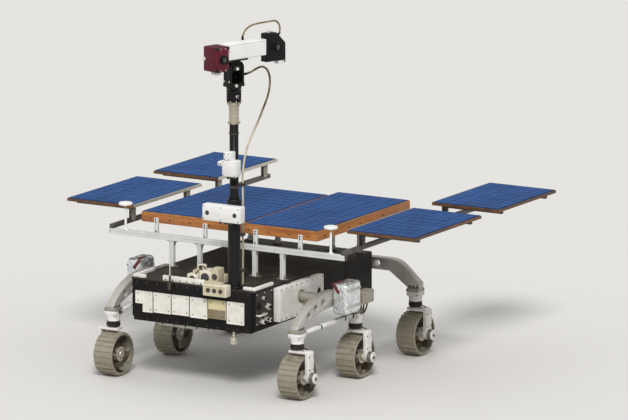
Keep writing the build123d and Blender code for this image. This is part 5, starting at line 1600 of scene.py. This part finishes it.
for seat in grid((-0.033, 0.033), row(bench_from + 0.014, 0.0518, 6), bench_high - 0.0005):
    add_drum(bench, seat, 0.0017 * Z, 0.0028, 0.0022, 12, finish=1)
for slot_across in row(bench_from + 0.050, 0.022, 9):
    slot_to = (0.0025 - bench_half, slot_across + 0.010, 1.958)
    add_block(bench, (-bench_half - 0.0008, slot_across, 1.918), slot_to, 0.0006, 2, 1)
bench_gland = Vector((0, 0.064, bench_high))
add_drum(bench, bench_gland, 0.008 * Z, 0.0105, sides=6, rounding=0.0006, finish=1)
add_drum(bench, bench_gland + 0.007 * Z, 0.023 * Z, 0.008, 0.0055, 20, finish=2)
finish_head("dressed_bench", bench, (bench_paint, plated, port_rubber), "plate_white", "camera_bench")


# Red camera. A multispectral camera in a case of red anodised aluminium, machined with cooling ribs, with a
# black lens barrel in front and a plug on its outer side. The pink blotches on the case are painted
# highlights.
# The second colour here is pink, so its blotches are a painted highlight on the red case.
red_anodised = dust_and_sheen_finish("red_anodised_aluminium", "#57051E", "#A8606F", 0.3, 0.4, (0.2, 0.16), 0.02, 0.35)
lens_black = dust_and_sheen_finish("black_lens_barrel", "#0C0C0E", "#3C362D", 0.4, 0.2, (0.2, 0.1), specular=0.3)
barrel_profile = (
    (0.0, 0.0), (0.027, 0.0), (0.027, 0.003), (0.022, 0.005), (0.022, 0.021), (0.021, 0.022), (0.0175, 0.022),
    (0.0165, 0.016), (0.0, 0.016),
)
glass_profile = (
    (0.0, 0.0155), (0.0165, 0.0155), (0.0150, 0.0175), (0.010, 0.0192), (0.005, 0.0200), (0.0, 0.0202),
)


def add_lens(bm, seat):
    """Add a lens barrel and its front glass, which look forward."""
    for profile, finish in ((barrel_profile, 2), (glass_profile, 3)):
        spin_profile(bm, profile, seat, X, Z, 40, finish=finish)


red_camera = bmesh.new()
add_block(red_camera, (-0.058, -0.170, 1.840), (0.056, -0.082, 1.977), 0.004, steps=3)
add_block(red_camera, (0.054, -0.167, 1.844), (0.060, -0.086, 1.974), 0.002)
for rib_z in row(1.852, 0.0135, 9):
    add_block(red_camera, (-0.050, -0.173, rib_z), (0.048, -0.168, rib_z + 0.0055), 0.001, steps=1)
for rib_y in row(-0.165, 0.0122, 7):
    add_block(red_camera, (-0.048, rib_y, 1.975), (0.046, rib_y + 0.005, 1.980), 0.001, steps=1)
for seat in grid(0.0595, (-0.145, -0.110), (1.850, 1.970)):
    add_drum(red_camera, seat, 0.002 * X, 0.003, 0.0025, 12, finish=1)
add_drum(red_camera, (-0.044, -0.172, 1.909), -0.010 * Y, 0.0125, 0.0115, 24, 0.0015, 1)
add_lens(red_camera, (0.060, -0.1275, 1.910))
# Black blocks on the case's corners are painted shade, darkening the corners beside the sheen.
for shade_corner_block in grid(0.040, (-0.172, -0.098), (1.841, 1.965)):
    add_block(red_camera, shade_corner_block, shade_corner_block + Vector((0.0215, 0.017, 0.014)), 0.002, 2)
red_finishes = (red_anodised, plated, lens_black, window_glass)
finish_head("dressed_red_camera", red_camera, red_finishes, "camera_red", "camera_red")


# Black camera. The other camera is in a moulded black case with one corner cut off. The bench cable plugs
# into that corner, and a plated aerial socket stands on its top.
moulded_black = dust_and_sheen_finish("moulded_black_case", "#09090C", "#332E27", 0.5, cover=(0.2, 0.1), specular=0.2)
black_outline = (
    # across, height
    (0.205, 1.854), (0.345, 1.854), (0.345, 1.952), (0.283, 2.014), (0.205, 2.014),
)
black_middle = Vector((0.275, 1.930))
black_camera = bmesh.new()
for back_x, front_x, inset, rounding in ((-0.012, 0.036, 0.0, 0.004), (0.034, 0.040, 0.003, 0.002)):
    corners = [Vector(corner) for corner in black_outline]
    moved = [corner + inset * (black_middle - corner).normalized() for corner in corners]
    case_faces, _ = add_slab(black_camera, [(back_x, *corner) for corner in moved], (front_x - back_x) * X)
    round_edges(black_camera, case_faces, rounding, 3, sharpest=30)
add_lens(black_camera, (0.040, 0.275, 1.934))
for across, height in ((0.217, 1.866), (0.333, 1.866), (0.217, 2.002), (0.277, 2.002), (0.333, 1.944)):
    add_drum(black_camera, (0.0395, across, height), 0.002 * X, 0.003, 0.0025, 12, finish=2)
socket = Vector((0.014, 0.240, 2.014))
add_drum(black_camera, socket, 0.006 * Z, 0.009, sides=6, rounding=0.0006, finish=1)
add_drum(black_camera, socket + 0.005 * Z, 0.019 * Z, 0.0075, sides=20, rounding=0.001, finish=1)
corner_way = (Y + Z).normalized()
corner_seat = Vector((0, 0.314, 1.983))
add_drum(black_camera, corner_seat, 0.008 * corner_way, 0.010, sides=6, rounding=0.0006, finish=1)
add_drum(black_camera, corner_seat + 0.007 * corner_way, 0.023 * corner_way, 0.0075, 0.0056, 20, finish=2)
add_drum(black_camera, (0.014, 0.335, 1.844), 0.024 * Y, 0.008, 0.007, 20, 0.001)
black_finishes = (moulded_black, plated, lens_black, window_glass)
finish_head("dressed_black_camera", black_camera, black_finishes, "camera_black", "camera_black")


# Camera feet. Machined white blocks under both cameras are the stops that they rest on at low tilt.
foot_half = 0.020
feet = bmesh.new()
for foot_x, foot_y, foot_top in ((0.0, -0.1275, 1.840), (0.014, 0.317, 1.854)):
    foot_low = Vector((foot_x - foot_half, foot_y - foot_half, foot_top - 0.020))
    add_block(feet, foot_low, (foot_x + foot_half, foot_y + foot_half, foot_top), 0.002)
    for seat in grid(foot_x + foot_half - 0.0005, (foot_y - 0.012, foot_y + 0.012), foot_top - 0.010):
        add_drum(feet, seat, 0.0017 * X, 0.0028, sides=12, finish=1)
    add_bolts(feet, [(foot_x, foot_y, foot_top - 0.020)], -Z, 0.005)
finish_head("dressed_camera_feet", feet, (bench_paint, plated), "plate_white", "camera_feet")


# Bench cable. A brown sleeved cable loops over the bench from its gland to the cut corner of the camera.
bench_cable_diameter = 0.010
bench_cable_points = (
    # across, height
    (0.0640, 1.9850), (0.0640, 2.0006), (0.0669, 2.0212), (0.0843, 2.0479), (0.1280, 2.0679),
    (0.1776, 2.0718), (0.2201, 2.0734), (0.2640, 2.0740), (0.3054, 2.0745), (0.3343, 2.0472),
    (0.3358, 2.0025), (0.3140, 1.9830),
)
tan_sleeve = cable_sleeve("braided_sleeve_tan", "#7C6646", "#7C6646", 1.9, 2.1)
bench_cable, bench_route, bench_cable_line = free_cable(
    "bench_cable_sleeve", bench_cable_points, bench_cable_diameter, tan_sleeve
)
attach(bench_cable, "head_tilt")
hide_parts("bench_cables")
